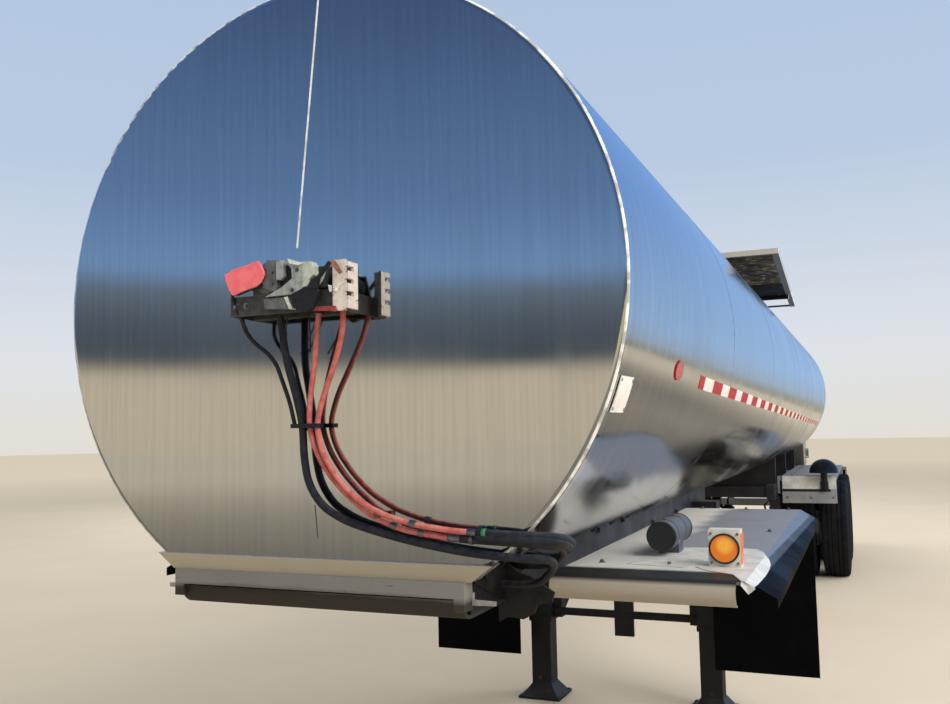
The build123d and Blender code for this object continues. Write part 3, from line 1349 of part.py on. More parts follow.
def outlet_valve():
    start = TANK_LENGTH + CABINET_FRONT_WALL
    z = OUTLET_HEIGHT
    flange = drum_along_x((start, start + OUTLET_FLANGE_THICKNESS), 0, z, OUTLET_FLANGE_RADIUS)
    pipe = drum_along_x((start, start + OUTLET_LENGTH), 0, z, OUTLET_RADIUS)
    valve = start + VALVE_OFFSET
    body = drum_along_x((valve, valve + VALVE_LENGTH), 0, z, VALVE_RADIUS)
    middle = valve + VALVE_LENGTH / 2
    top = z + VALVE_STEM_RISE
    stem = rod((middle, 0, z), (middle, 0, top), VALVE_STEM_RADIUS)
    handle = block(
        (middle - VALVE_HANDLE_WIDTH / 2, middle + VALVE_HANDLE_REACH),
        around(0, VALVE_HANDLE_WIDTH),
        around(top, VALVE_HANDLE_THICKNESS),
    )
    return flange + pipe + body + stem + handle


# Rear guard and tail lamps

def rear_bumper():
    """Guard tube on posts under the rails, with a lamp box on an arm at each side."""
    s = around(BUMPER_STATION, BUMPER_SIZE)
    arm_s = around(BUMPER_STATION, BUMPER_ARM)
    z = around(BUMPER_HEIGHT, BUMPER_SIZE)
    guard = block(s, (-BUMPER_HALF_WIDTH, BUMPER_HALF_WIDTH), z)
    rail_in = SPRING_Y - RAIL_WIDTH / 2
    rail_out = SPRING_Y + RAIL_WIDTH / 2
    knee_out = rail_out + BUMPER_KNEE_WIDTH
    knee_low = RAIL_BOTTOM - BUMPER_KNEE
    box_z = (TAIL_BOX_BOTTOM, TAIL_BOX_BOTTOM + TAIL_BOX_HEIGHT)
    arm_z = (box_z[0] + TAIL_ARM_INSET, box_z[1] - TAIL_ARM_INSET)
    for side in (-1, 1):
        guard = guard + block(s, span(rail_in, rail_out, side), (z[1], RAIL_BOTTOM))
        guard = guard + block(s, span(rail_in, knee_out, side), (knee_low, RAIL_BOTTOM))
        guard = guard + block(arm_s, span(rail_out, knee_out, side), (knee_low, arm_z[1]))
        guard = guard + block(arm_s, span(rail_out, TAIL_BOX_INNER_Y, side), arm_z)
        box = span(TAIL_BOX_INNER_Y, TAIL_BOX_OUTER_Y, side)
        guard = guard + block(around(BUMPER_STATION, TAIL_BOX_DEPTH), box, box_z)
    return guard


def tail_lamps():
    s = BUMPER_STATION + TAIL_BOX_DEPTH / 2
    z = TAIL_BOX_BOTTOM + TAIL_BOX_HEIGHT / 2
    pitch = (TAIL_BOX_OUTER_Y - TAIL_BOX_INNER_Y) / TAIL_LAMP_COUNT
    lamps = []
    for n in range(TAIL_LAMP_COUNT):
        y = TAIL_BOX_INNER_Y + (n + 0.5) * pitch
        lamps += both_sides(drum_along_x((s, s + TAIL_LAMP_THICKNESS), y, z, TAIL_LAMP_RADIUS))
    return lamps


# Service connections on the front head

def service_bracket():
    """Tray and back plate on the head's centre line, which carry the couplings."""
    y = (TRAY_INNER_Y, TRAY_OUTER_Y)
    t = TRAY_SHEET
    tray = block((-TRAY_REACH, 0), y, (TRAY_BOTTOM, TRAY_TOP))
    tray = tray - block((t - TRAY_REACH, 1), (y[0] + t, y[1] - t), (TRAY_BOTTOM - PAST, TRAY_TOP - t))
    plate_y = (y[0] + BACK_PLATE_INSET, y[1] - BACK_PLATE_INSET)
    return tray + block((-BACK_PLATE_THICKNESS, 0), plate_y, (TRAY_BOTTOM, TRAY_TOP + BACK_PLATE_RISE))


def gladhands():
    """Two cast couplings, each a disc on an elbow that rises from the tray."""
    pieces = []
    beyond, thick, drop = GLADHAND_EAR
    face = GLADHAND_SETBACK - TRAY_REACH
    below = block((-2 * TRAY_REACH, 0), (TRAY_INNER_Y, TRAY_OUTER_Y), (0, TRAY_TOP))
    for y, rise in GLADHAND_TABLE:
        z = TRAY_TOP + rise
        disc = drum_along_x((face, face + GLADHAND_THICKNESS), y, z, GLADHAND_RADIUS)
        neck_s = (face + GLADHAND_THICKNESS / 2, -BACK_PLATE_THICKNESS - SEAT_GAP)
        neck = block(neck_s, around(y, 2 * GLADHAND_NECK_HALF_WIDTH), (TRAY_TOP, z + GLADHAND_NECK_RISE))
        ear_s = (face + thick / 2, face + 3 * thick / 2)
        ear = block(ear_s, (y - GLADHAND_RADIUS - beyond, y), (z - drop, z - drop + 3 * thick / 2))
        pieces.append((disc + neck + ear) - below)
    return pieces


def trailer_socket():
    """Round electrical socket lying on the tray, with its sprung lid ajar."""
    front = SOCKET_SETBACK - TRAY_REACH
    z = TRAY_TOP + SOCKET_RADIUS + SEAT_GAP
    t = SOCKET_LID_THICKNESS
    body = drum_along_x((front, front + SOCKET_LENGTH), SOCKET_Y, z, SOCKET_RADIUS)
    middle = Pos(x_at(front - SOCKET_LID_STANDOFF), SOCKET_Y, z + t / 2)
    lid = middle * Rot(0, -SOCKET_LID_TILT, 0) * Box(t, 2 * SOCKET_RADIUS, 2 * SOCKET_RADIUS + t)
    width, thick, rise = SOCKET_LINK
    link_s = (front - SOCKET_LID_STANDOFF, front + SOCKET_SETBACK)
    link = block(link_s, around(SOCKET_Y, width), (z + rise, z + rise + thick))
    tray = block((-2 * TRAY_REACH, 0), (TRAY_INNER_Y, TRAY_OUTER_Y), (0, TRAY_TOP + SEAT_GAP))
    return (body + lid + link) - tray


def side_boards():
    """White front board and the notched plate beside it, at the tray's left end."""
    low = TRAY_BOTTOM - BOARD_LOW
    high = TRAY_TOP + BOARD_RISE
    front = -TRAY_REACH - BOARD_THICKNESS
    board_y = around(BOARD_Y, BOARD_WIDTH)
    face = block((front, -TRAY_REACH - SEAT_GAP), board_y, (low, high))
    edge_y = (board_y[1], board_y[1] + BOARD_THICKNESS)
    side = block((front, -SIDE_PLATE_END), edge_y, (low + BOARD_LOW, high - BOARD_LOW))
    cut_y = (edge_y[0] - PAST, edge_y[1] + PAST)
    for rise in NOTCH_RISES:
        z = (low + rise, low + rise + NOTCH_HEIGHT)
        side = side - block((front - PAST, front + NOTCH_DEPTH), cut_y, z)
    return face + side


def dust_cover():
    plate = Box(COVER_THICKNESS, COVER_WIDTH, COVER_DEPTH)
    plate = fillet(plate.edges().filter_by(Axis.X), COVER_CORNER)
    middle = Pos(x_at(-TRAY_REACH - COVER_STANDOFF), COVER_Y, TRAY_TOP + COVER_RISE)
    return middle * Rot(-COVER_ROLL, 0, 0) * Rot(0, -COVER_TILT, 0) * plate


def line_along(name, route, diameter):
    """Round line along straight runs joined by arcs as large as the runs allow."""
    points = [Vector(x_at(-out), y, TRAY_BOTTOM - drop) for y, drop, out in route]
    radii = []
    for a, b, c in zip(points, points[1:], points[2:]):
        turn = math.radians((b - a).get_angle(c - b))
        shorter = min((b - a).length, (c - b).length)
        radii.append(BEND_SHARE * shorter / math.tan(turn / 2))
    path = FilletPolyline(*points, radius=radii)
    section = Plane(origin=path @ 0, z_dir=path % 0) * Circle(diameter / 2)
    solid = sweep(section, path=path)
    expected = math.pi * diameter ** 2 / 4 * path.length
    print(name, "smallest bend", round(min(radii)), "length", round(path.length),
          "volume share", round(solid.volume / expected, 4))
    return solid


# The lines end at the outer face of the coupler frame's left rail
HOSE_END_Y = FRAME_HALF_WIDTH + SEAT_GAP
# Routes of the lines: y, drop below the tray, distance in front of the head
LONG_HOSE_ROUTE = (
    (64, 0, 70),
    (52, 46, 60),
    (33, 136, 44),
    (12, 236, 36),
    (6, 314, 34),
    (30, 386, 36),
    (72, 448, 38),
    (130, 506, 38),
    (205, 562, 36),
    (300, 598, 34),
    (440, 616, 32),
    (600, 622, 30),
    (705, 634, -30),
    (690, 664, -170),
    (600, 735, -330),
    (HOSE_END_Y, 735, -330),
)
SHORT_HOSE_ROUTE = (
    (143, 0, 70),
    (132, 60, 58),
    (98, 144, 44),
    (56, 230, 36),
    (32, 314, 36),
    (52, 384, 42),
    (96, 448, 48),
    (154, 506, 52),
    (232, 550, 52),
    (330, 580, 48),
    (450, 596, 42),
    (610, 602, 36),
    (722, 612, -40),
    (705, 650, -210),
    (600, 716, -400),
    (HOSE_END_Y, 716, -400),
)
HARNESS_ROUTE = (
    (-70, 0, 64),
    (-66, 56, 56),
    (-58, 136, 46),
    (-36, 221, 36),
    (-16, 314, 30),
    (-14, 396, 30),
    (2, 476, 32),
    (46, 538, 32),
    (120, 578, 30),
    (220, 606, 26),
    (340, 632, 22),
    (470, 652, 22),
    (600, 662, 22),
    (690, 672, -50),
    (660, 712, -160),
    (580, 776, -250),
    (HOSE_END_Y, 776, -250),
)
CABLE_ROUTE = (
    (-190, 0, 80),
    (-186, 36, 70),
    (-160, 74, 60),
    (-124, 100, 52),
    (-94, 136, 46),
    (-78, 186, 40),
    (-56, 246, 36),
    (-42, 312, 32),
)


def harness_clips(lines):
    """Tie round the bundle, on a foot fixed to the head."""
    z = TRAY_BOTTOM - TIE_DROP
    near, far = TIE_OUT
    tie = block((-far, -near), TIE_Y, around(z, TIE_HEIGHT))
    foot = block((-near - PAST, 0), around(0, 2 * TIE_FOOT_HALF_WIDTH), around(z, 2 * TIE_FOOT_HALF_HEIGHT))
    clip = tie + foot
    for line in lines:
        clip = clip - line
    return max(clip.solids(), key=lambda solid: solid.volume)


def save(name, solids):
    shapes = solids if isinstance(solids, list) else [solids]
    shape = shapes[0] if len(shapes) == 1 else Compound(children=shapes)
    export_step(shape, "parts/" + name + ".step")


NODES = {
    "tank_jacket": tank_jacket,
    "front_head": front_head,
    "rear_head": rear_head,
    "manway_collar": manway_collar,
    "manway_lid": manway_lid,
    "work_platform": work_platform,
    "side_ladder": side_ladder,
    "coupler_frame": coupler_frame,
    "coupler_apron": coupler_apron,
    "coupler_plate": coupler_plate,
    "kingpin": kingpin,
    "service_bracket": service_bracket,
    "gladhands": gladhands,
    "trailer_socket": trailer_socket,
    "side_boards": side_boards,
    "dust_cover": dust_cover,
    "front_fenders": front_fenders,
    "fender_supports": fender_supports,
    "lamp_housings": lamp_housings,
    "lamp_lenses": lamp_lenses,
    "fender_canisters": fender_canisters,
    "mud_flaps": mud_flaps,
    "landing_legs": landing_legs,
    "landing_feet": landing_feet,
    "landing_braces": landing_braces,
    "landing_crank": landing_crank,
    "rear_subframe": rear_subframe,
    "air_tanks": air_tanks,
    "leaf_springs": leaf_springs,
    "spring_hangers": spring_hangers,
    "torque_rods": torque_rods,
    "axles": axles,
    "brake_chambers": brake_chambers,
    "rear_fenders": rear_fenders,
    "dome_lamps": dome_lamps,
    "rear_cabinet": rear_cabinet,
    "outlet_valve": outlet_valve,
    "rear_bumper": rear_bumper,
    "tail_lamps": tail_lamps,
}
LINES = (
    ("air_hose_long", LONG_HOSE_ROUTE, RED_HOSE_DIAMETER),
    ("air_hose_short", SHORT_HOSE_ROUTE, RED_HOSE_DIAMETER),
    ("black_harness", HARNESS_ROUTE, HARNESS_DIAMETER),
    ("socket_cable", CABLE_ROUTE, CABLE_DIAMETER),
)
WHEEL_POSITIONS = (
    ("front_left", AXLE_STATIONS[0], 1),
    ("front_right", AXLE_STATIONS[0], -1),
    ("rear_left", AXLE_STATIONS[1], 1),
    ("rear_right", AXLE_STATIONS[1], -1),
)

os.makedirs("parts", exist_ok=True)
for node, make in NODES.items():
    save(node, make())
lines = []
for node, route, diameter in LINES:
    lines.append(line_along(node, route, diameter))
    save(node, lines[-1])
save("harness_clips", harness_clips(lines))
tyres = tyre_pair()
wheels = wheel_pair()
for place, station, side in WHEEL_POSITIONS:
    save("tyres_" + place, [at_axle(tyre, station, side) for tyre in tyres])
    save("wheels_" + place, at_axle(wheels, station, side))
for place, side in (("left", 1), ("right", -1)):
    save("cabinet_door_" + place, cabinet_door(side))
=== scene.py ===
import math

import bmesh
import bpy
from mathutils import Euler, Matrix, Vector


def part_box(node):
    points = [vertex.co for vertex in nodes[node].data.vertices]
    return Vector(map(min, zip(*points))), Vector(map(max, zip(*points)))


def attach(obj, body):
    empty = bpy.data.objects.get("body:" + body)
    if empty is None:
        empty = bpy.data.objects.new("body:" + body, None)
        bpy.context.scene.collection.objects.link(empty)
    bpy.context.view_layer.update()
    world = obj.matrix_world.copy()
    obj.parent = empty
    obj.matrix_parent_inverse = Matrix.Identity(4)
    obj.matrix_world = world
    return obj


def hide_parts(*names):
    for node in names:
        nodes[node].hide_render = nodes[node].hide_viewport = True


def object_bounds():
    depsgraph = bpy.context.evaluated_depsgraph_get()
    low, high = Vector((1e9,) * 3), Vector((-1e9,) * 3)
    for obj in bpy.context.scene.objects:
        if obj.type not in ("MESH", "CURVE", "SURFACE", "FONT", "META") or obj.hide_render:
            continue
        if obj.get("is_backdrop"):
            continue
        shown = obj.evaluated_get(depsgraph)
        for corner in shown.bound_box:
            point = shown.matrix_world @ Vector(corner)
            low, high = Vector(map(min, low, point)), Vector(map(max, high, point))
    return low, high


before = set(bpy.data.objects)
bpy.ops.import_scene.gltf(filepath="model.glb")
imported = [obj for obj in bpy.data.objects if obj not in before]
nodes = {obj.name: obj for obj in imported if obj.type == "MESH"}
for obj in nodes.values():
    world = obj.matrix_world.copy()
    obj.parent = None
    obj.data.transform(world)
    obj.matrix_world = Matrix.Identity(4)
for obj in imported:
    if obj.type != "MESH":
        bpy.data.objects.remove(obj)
cad_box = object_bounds()
scene = bpy.context.scene
scene.view_settings.view_transform = "Standard"


# Camera: it stands at the front left of the head, at eye height, and looks slightly up.
# Its place and lens were fitted to the round head and the barrel's vanishing point.
barrel_low, barrel_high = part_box("tank_jacket")
head_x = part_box("front_head")[1][0]
radius = (barrel_high.y - barrel_low.y) / 2
axis_z = barrel_high.z - radius


def at(station, y, z):
    """Point a distance behind the front head, all in metres."""
    return Vector((head_x - station, y, z))


lens_mm = 34.9731
look_up = math.radians(94.72448)
look_round = math.radians(112.93109)
roll = math.radians(-1.12008)
eye = at(-2.25768, 1.46070, axis_z - 0.39917)
camera_data = bpy.data.cameras.new("view_camera")
camera_data.lens = lens_mm
camera_data.sensor_width = 36
camera = bpy.data.objects.new("view_camera", camera_data)
turn = Euler((look_up, 0, look_round)).to_matrix() @ Matrix.Rotation(roll, 3, "Z")
camera.matrix_world = Matrix.Translation(eye) @ turn.to_4x4()
scene.collection.objects.link(camera)
scene.camera = camera


# Studio: a pale floor, soft even light and a plain sky gradient that the polished sheet mirrors.
# Mirror rays see a darker blue ahead of the trailer and a paler one behind it, as a soft backdrop.
# The floor is matt dusty concrete, which gives soft light from below; far off it is paler. In mirrors the
# near floor is darker, a painted shade of the ground beside the trailer.


def linear(code):
    """sRGB hex colour as linear red, green, blue and alpha."""
    parts = [int(code[n:n + 2], 16) / 255 for n in (1, 3, 5)]
    return [p / 12.92 if p <= 0.04045 else ((p + 0.055) / 1.055) ** 2.4 for p in parts] + [1.0]


def add(tree, kind, out=0, **given):
    """Adds a node and returns one output. Lower-case names are settings, stops those of a ramp;
    the rest are inputs, by name or as I0, I1 and so on, each a value, a hex colour or an output."""
    node = tree.nodes.new("ShaderNode" + kind)
    for name, value in given.items():
        value = linear(value) if isinstance(value, str) and value[0] == "#" else value
        if name == "stops":
            elements = node.color_ramp.elements
            for n, (place, code) in enumerate(value):
                element = elements[n] if n < 2 else elements.new(place)
                element.position = place
                element.color = linear(code)
        elif name[0].islower():
            setattr(node, name, value)
        else:
            numbered = name[0] == "I" and name[1:].isdigit()
            socket = node.inputs[int(name[1:])] if numbered else node.inputs[name.replace("_", " ")]
            if isinstance(value, bpy.types.NodeSocket):
                tree.links.new(value, socket)
            else:
                socket.default_value = value
    return node.outputs[out] if node.outputs else node


def feed(tree, shader, **outputs):
    """Links outputs to the shader's inputs by name."""
    for name, output in outputs.items():
        tree.links.new(output, shader.inputs[name.replace("_", " ")])


world = bpy.data.worlds.new("studio")
world.use_nodes = True
scene.world = world
tree = world.node_tree
tree.nodes.clear()
ray = add(tree, "TexCoord", "Generated")
upward = add(tree, "MapRange", Value=add(tree, "SeparateXYZ", 2, Vector=ray), From_Min=-0.25, From_Max=1.0)
facing = add(tree, "MapRange", Value=add(tree, "SeparateXYZ", 0, Vector=ray), From_Min=-0.6, From_Max=0.7)
backdrop = add(tree, "ValToRGB", Fac=upward, stops=[
    (0.0, "#cfc6b6"), (1.0, "#9db8dc"), (0.19, "#e4dfd6"), (0.26, "#dfe3e8"), (0.42, "#b9cbe2")])
ahead = add(tree, "ValToRGB", Fac=upward, stops=[
    (0.0, "#cdbfa4"), (1.0, "#3c5274"), (0.2, "#ddcfb5"), (0.248, "#dfd1b8"), (0.26, "#4c565f"),
    (0.29, "#5d6874"), (0.318, "#71808f"), (0.335, "#84aada"), (0.39, "#6e90c1"), (0.55, "#4c6690")])
behind = add(tree, "ValToRGB", Fac=upward, stops=[
    (0.0, "#a79a82"), (1.0, "#5f8ad0"), (0.19, "#a09a8c"), (0.205, "#a9bdd2"), (0.24, "#a3c4ec"),
    (0.32, "#98bbe9"), (0.45, "#7ea8e6")])
mirrored = add(tree, "Mix", 2, data_type="RGBA", I0=facing, I6=behind, I7=ahead)
seen = add(tree, "Background", Color=backdrop)
gloss = add(tree, "Background", Color=mirrored)
soft = add(tree, "Background", Color="#f4f4f4", Strength=0.85)
through = add(tree, "Math", operation="MAXIMUM", I0=add(tree, "LightPath", "Is Camera Ray"),
              I1=add(tree, "LightPath", "Is Transmission Ray"))
lit = add(tree, "MixShader", Fac=add(tree, "LightPath", "Is Glossy Ray"), I1=soft, I2=gloss)
add(tree, "OutputWorld", Surface=add(tree, "MixShader", Fac=through, I1=lit, I2=seen))

floor_radius = 90
floor_mesh = bmesh.new()
bmesh.ops.create_circle(floor_mesh, cap_ends=True, radius=floor_radius, segments=96)
floor_data = bpy.data.meshes.new("studio_floor")
floor_mesh.to_mesh(floor_data)
floor = bpy.data.objects.new("studio_floor", floor_data)
scene.collection.objects.link(floor)
floor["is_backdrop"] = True
floor_look = bpy.data.materials.new("pale_floor")
floor_look.use_nodes = True
tree = floor_look.node_tree
shader = tree.nodes["Principled BSDF"]
place = add(tree, "TexCoord", "Object")
away = add(tree, "VectorMath", "Value", operation="LENGTH", I0=place)
share = add(tree, "MapRange", Value=away, From_Min=14.0, From_Max=36.0)
cloud = add(tree, "TexNoise", Vector=place, Scale=0.7, Detail=4.0)
pale = add(tree, "Mix", 2, data_type="RGBA", I0=cloud, I6="#c9bda9", I7="#d3c8b5")
# Mirror rays see the near floor darker: painted shade of the ground beside the trailer.
mirrored_shade = add(tree, "Mix", 2, data_type="RGBA", I0=cloud, I6="#726c61", I7="#8d8578")
near = add(tree, "Mix", 2, data_type="RGBA", I0=add(tree, "LightPath", "Is Glossy Ray"), I6=pale, I7=mirrored_shade)
far = add(tree, "Mix", 2, data_type="RGBA", I0=share, I6=near, I7="#f4e7cd")
feed(tree, shader, Base_Color=far)
shader.inputs["Roughness"].default_value = 0.95
shader.inputs["Specular IOR Level"].default_value = 0.1
floor_data.materials.append(floor_look)

# Lamps: three large soft panels, at the front left, at the left and behind on the right. Each has
# its place, its side in metres, its power in watts and the point that it faces.
for name, place, size, power, aim in (
    ("key_light", (9.0, 9.0, 9.0), 6.0, 1500, (2.0, 0.0, 1.5)),
    ("fill_light", (-4.0, 12.0, 6.0), 8.0, 900, (0.0, 0.0, 1.5)),
    ("rear_light", (-12.0, -8.0, 8.0), 8.0, 900, (-2.0, 0.0, 1.5)),
):
    lamp_data = bpy.data.lights.new(name, "AREA")
    lamp_data.size = size
    lamp_data.energy = power
    lamp = bpy.data.objects.new(name, lamp_data)
    lamp.visible_glossy = False
    lamp.visible_camera = False
    lamp.location = place
    lamp.rotation_euler = (Vector(aim) - Vector(place)).to_track_quat("-Z", "Y").to_euler()
    scene.collection.objects.link(lamp)


# Barrel jacket: the outer shell over the tank's insulation, of rolled stainless sheet in courses,
# welded, brushed round the barrel and then polished. It wraps the tank and is fixed at the heads.


def material(name, metal=0.0, rough=0.5):
    """New material, its node tree and shader, and object coordinates in metres."""
    made = bpy.data.materials.new(name)
    made.use_nodes = True
    tree = made.node_tree
    shader = tree.nodes["Principled BSDF"]
    shader.inputs["Metallic"].default_value = metal
    shader.inputs["Roughness"].default_value = rough
    return made, tree, shader, add(tree, "TexCoord", "Object")


def dress(look, *names):
    """Gives the solids of some nodes one finish."""
    for name in names:
        data = nodes[name].data
        data.materials.clear()
        data.materials.append(look)


def per_metre(size_mm, stretch=(1, 1, 1)):
    """Pattern's scale along x, y and z for features of a size in millimetres, drawn out by a stretch."""
    return [1000 / size_mm / s for s in stretch]


# Polished stainless sheet: rings from the brushing smear what it mirrors lengthways, with cloudy
# haze and shallow ripples. The rings, a millimetre apart, are drawn 26 mm wide so that they show.
jacket, tree, shader, place = material("polished_jacket_sheet", metal=1.0)
drawn = add(tree, "Mapping", Vector=place, Scale=per_metre(26, (1, 60, 60)))
rings = add(tree, "TexNoise", Vector=drawn, Scale=1.0, Detail=6.0)
drawn = add(tree, "Mapping", Vector=place, Scale=per_metre(420, (1, 9, 9)))
broad = add(tree, "TexNoise", Vector=drawn, Scale=1.0, Detail=3.0)
haze = add(tree, "TexNoise", Vector=place, Scale=1000 / 700, Detail=5.0)
ring_share = add(tree, "MapRange", Value=rings, From_Min=0.3, From_Max=0.7)
haze_share = add(tree, "MapRange", Value=haze, From_Min=0.45, From_Max=0.8, To_Max=0.35)
tone = add(tree, "Mix", 2, data_type="RGBA", I0=ring_share, I6="#bfc1c2", I7="#d3d4d4")
tone = add(tree, "Mix", 2, data_type="RGBA", I0=haze_share, I6=tone, I7="#a9abab")
rough = add(tree, "MapRange", Value=haze, From_Min=0.35, From_Max=0.75, To_Min=0.07, To_Max=0.17)
rough = add(tree, "Math", operation="MULTIPLY_ADD", I0=ring_share, I1=0.05, I2=rough)
drawn = add(tree, "Mapping", Vector=place, Scale=per_metre(650, (1, 1.6, 1.6)))
waves = add(tree, "TexNoise", Vector=drawn, Scale=1.0, Detail=1.0)
bent = add(tree, "Bump", Height=waves, Distance=0.005, Strength=0.35)
bent = add(tree, "Bump", Height=broad, Distance=0.0008, Strength=0.3, Normal=bent)
bent = add(tree, "Bump", Height=rings, Distance=0.00005, Strength=0.6, Normal=bent)
feed(tree, shader, Base_Color=tone, Roughness=rough, Normal=bent,
     Tangent=add(tree, "Tangent", direction_type="RADIAL", axis="X"))
shader.inputs["Anisotropic"].default_value = 0.5
dress(jacket, "tank_jacket")


# Heads: the flat ends of the shell, each a disc of stainless sheet that is welded on and polished.
# The front one carries the connections, and the rear one stands over the cabinet.

# Polished head sheet: nearly a mirror, with faint upright streaks of polishing and washing, drawn
# 14 mm wide so that they show, and slow ripples.
head_look, tree, shader, place = material("polished_head_sheet", metal=1.0)
drawn = add(tree, "Mapping", Vector=place, Scale=per_metre(14, (1, 1, 45)))
streaks = add(tree, "TexNoise", Vector=drawn, Scale=1.0, Detail=5.0)
drawn = add(tree, "Mapping", Vector=place, Scale=per_metre(90, (1, 1, 12)))
wide = add(tree, "TexNoise", Vector=drawn, Scale=1.0, Detail=3.0)
haze = add(tree, "TexNoise", Vector=place, Scale=1000 / 500, Detail=5.0)
streak_share = add(tree, "MapRange", Value=streaks, From_Min=0.35, From_Max=0.7)
wide_share = add(tree, "MapRange", Value=wide, From_Min=0.5, From_Max=0.85, To_Max=0.22)
tone = add(tree, "Mix", 2, data_type="RGBA", I0=streak_share, I6="#c9caca", I7="#d2d3d3")
tone = add(tree, "Mix", 2, data_type="RGBA", I0=wide_share, I6=tone, I7="#b6b8ba")
rough = add(tree, "MapRange", Value=haze, From_Min=0.35, From_Max=0.75, To_Min=0.05, To_Max=0.1)
rough = add(tree, "Math", operation="MULTIPLY_ADD", I0=wide_share, I1=0.15, I2=rough)
waves = add(tree, "TexNoise", Vector=place, Scale=1000 / 520, Detail=1.0)
bent = add(tree, "Bump", Height=waves, Distance=0.002, Strength=0.25)
bent = add(tree, "Bump", Height=streaks, Distance=0.00003, Strength=0.4, Normal=bent)
feed(tree, shader, Base_Color=tone, Roughness=rough, Normal=bent)
dress(head_look, "front_head", "rear_head")


# Head rims, glint and seam: a rolled half-round trim of bright sheet closes the joint of head and jacket,
# clipped on over the edge. A thin near-white strip down the front head's upper half is a painted glint of
# light, and a short seam low in its middle is dark with dirt.


def piece(name, mesh, looks, body="trailer", bevel=0.0):
    """Object from a bmesh, with its finishes, riding on a body."""
    data = bpy.data.meshes.new(name)
    bmesh.ops.recalc_face_normals(mesh, faces=mesh.faces)
    mesh.to_mesh(data)
    mesh.free()
    for look in looks if isinstance(looks, (list, tuple)) else [looks]:
        data.materials.append(look)
    made = bpy.data.objects.new(name, data)
    scene.collection.objects.link(made)
    if bevel:
        rounding = made.modifiers.new("rounded_edges", "BEVEL")
        rounding.width = bevel
        rounding.segments = 2
        rounding.limit_method = "ANGLE"
    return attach(made, body)


def sheet_plate(mesh, outline, thick, look=0):
    """Flat plate: an outline of points, made thick to both sides along its normal."""
    points = [Vector(p) for p in outline]
    normal = Vector((0, 0, 0))
    for a, b in zip(points, points[1:] + points[:1]):
        normal += a.cross(b)
    normal.normalize()
    low = [mesh.verts.new(p - normal * thick / 2) for p in points]
    high = [mesh.verts.new(p + normal * thick / 2) for p in points]
    faces = [mesh.faces.new(low), mesh.faces.new(list(reversed(high)))]
    for n in range(len(points)):
        m = (n + 1) % len(points)
        faces.append(mesh.faces.new((low[n], high[n], high[m], low[m])))
    for face in faces:
        face.material_index = look


def tube(mesh, points, r, look=0, sides=10, loop=False):
    """Round bar or line along points; its section may be drawn in by a list of radii."""
    points = [Vector(p) for p in points]
    radii = r if isinstance(r, (list, tuple)) else [r] * len(points)
    rings = []
    side = None
    for n, point in enumerate(points):
        before = points[n - 1] if n or loop else point
        after = points[(n + 1) % len(points)] if n + 1 < len(points) or loop else point
        along = (after - before).normalized()
        side = along.orthogonal() if side is None else side - along * side.dot(along)
        side.normalize()
        other = along.cross(side)
        ring = []
        for k in range(sides):
            angle = 2 * math.pi * k / sides
            out = side * math.cos(angle) + other * math.sin(angle)
            ring.append(mesh.verts.new(point + out * radii[n]))
        rings.append(ring)
    pairs = list(zip(rings, rings[1:])) + ([(rings[-1], rings[0])] if loop else [])
    for a, b in pairs:
        for k in range(sides):
            m = (k + 1) % sides
            face = mesh.faces.new((a[k], a[m], b[m], b[k]))
            face.smooth = True
            face.material_index = look
    if not loop:
        for ring in (rings[0], rings[-1]):
            mesh.faces.new(ring).material_index = look


rim_reach = radius - 0.008
rim_thick = 0.0078
trim = bmesh.new()
for side_x, face in ((1, head_x), (-1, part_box("rear_head")[0][0])):
    middle = face - side_x * 0.010
    ring = []
    for n in range(160):
        angle = 2 * math.pi * n / 160
        ring.append((middle, rim_reach * math.cos(angle), axis_z + rim_reach * math.sin(angle)))
    if side_x < 0:
        tube(trim, ring, rim_thick, 0, 8, True)
        continue
    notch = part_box("coupler_frame")[1][2] + 0.012
    kept = [p for p in ring if p[2] > notch]
    first = max(range(len(kept)), key=lambda n: (Vector(kept[n]) - Vector(kept[n - 1])).length)
    tube(trim, kept[first:] + kept[:first], rim_thick, 0, 8)
head_strips = (  # upper and lower end as y and height above the axis, width, finish
    ((0.023, 0.875), (-0.054, 0.137), 0.006, 1),
    ((0.003, -0.607), (0.012, -0.700), 0.003, 2),
)
for top, bottom, wide, look in head_strips:
    a = at(-0.0002, top[0], axis_z + top[1])
    b = at(-0.0002, bottom[0], axis_z + bottom[1])
    across = Vector((0, wide / 2, 0))
    sheet_plate(trim, (a - across, b - across, b + across, a + across), 0.0006, look)
# Rolled rim sheet: bright trim whose near-white tone is a painted highlight of light along the rim, broken
# up by darker patches.
rim, tree, shader, place = material("rim_painted_highlight", metal=0.25, rough=0.3)
grain = add(tree, "TexNoise", Vector=place, Scale=1000 / 45, Detail=4.0)
bright = add(tree, "MapRange", Value=grain, From_Min=0.42, From_Max=0.56)
tone = add(tree, "Mix", 2, data_type="RGBA", I0=bright, I6="#b3b2ad", I7="#f1efe9")
feed(tree, shader, Base_Color=tone, Normal=add(tree, "Bump", Height=grain, Distance=0.0002, Strength=0.5))
# Painted glint: a near-white streak of light down the head, duller in patches.
glint_strip, tree, shader, place = material("painted_glint_strip", metal=0.1, rough=0.3)
glint_noise = add(tree, "TexNoise", Vector=place, Scale=1000 / 40, Detail=2.0)
breaks = add(tree, "MapRange", Value=glint_noise, From_Min=0.4, From_Max=0.6)
tone = add(tree, "Mix", 2, data_type="RGBA", I0=breaks, I6="#f4f4f0", I7="#c9ccd0")
feed(tree, shader, Base_Color=tone)
# Dirty groove: the lower seam has filled with brown dirt, which shows as a dark line.
groove, tree, shader, place = material("dirty_seam_groove", metal=0.2)
dirt = add(tree, "TexNoise", Vector=place, Scale=1000 / 12, Detail=3.0)
tone = add(tree, "Mix", 2, data_type="RGBA", I0=dirt, I6="#3a332a", I7="#6b6252")
feed(tree, shader, Base_Color=tone)
piece("head_rims_glint_and_seam", trim, [rim, glint_strip, groove])


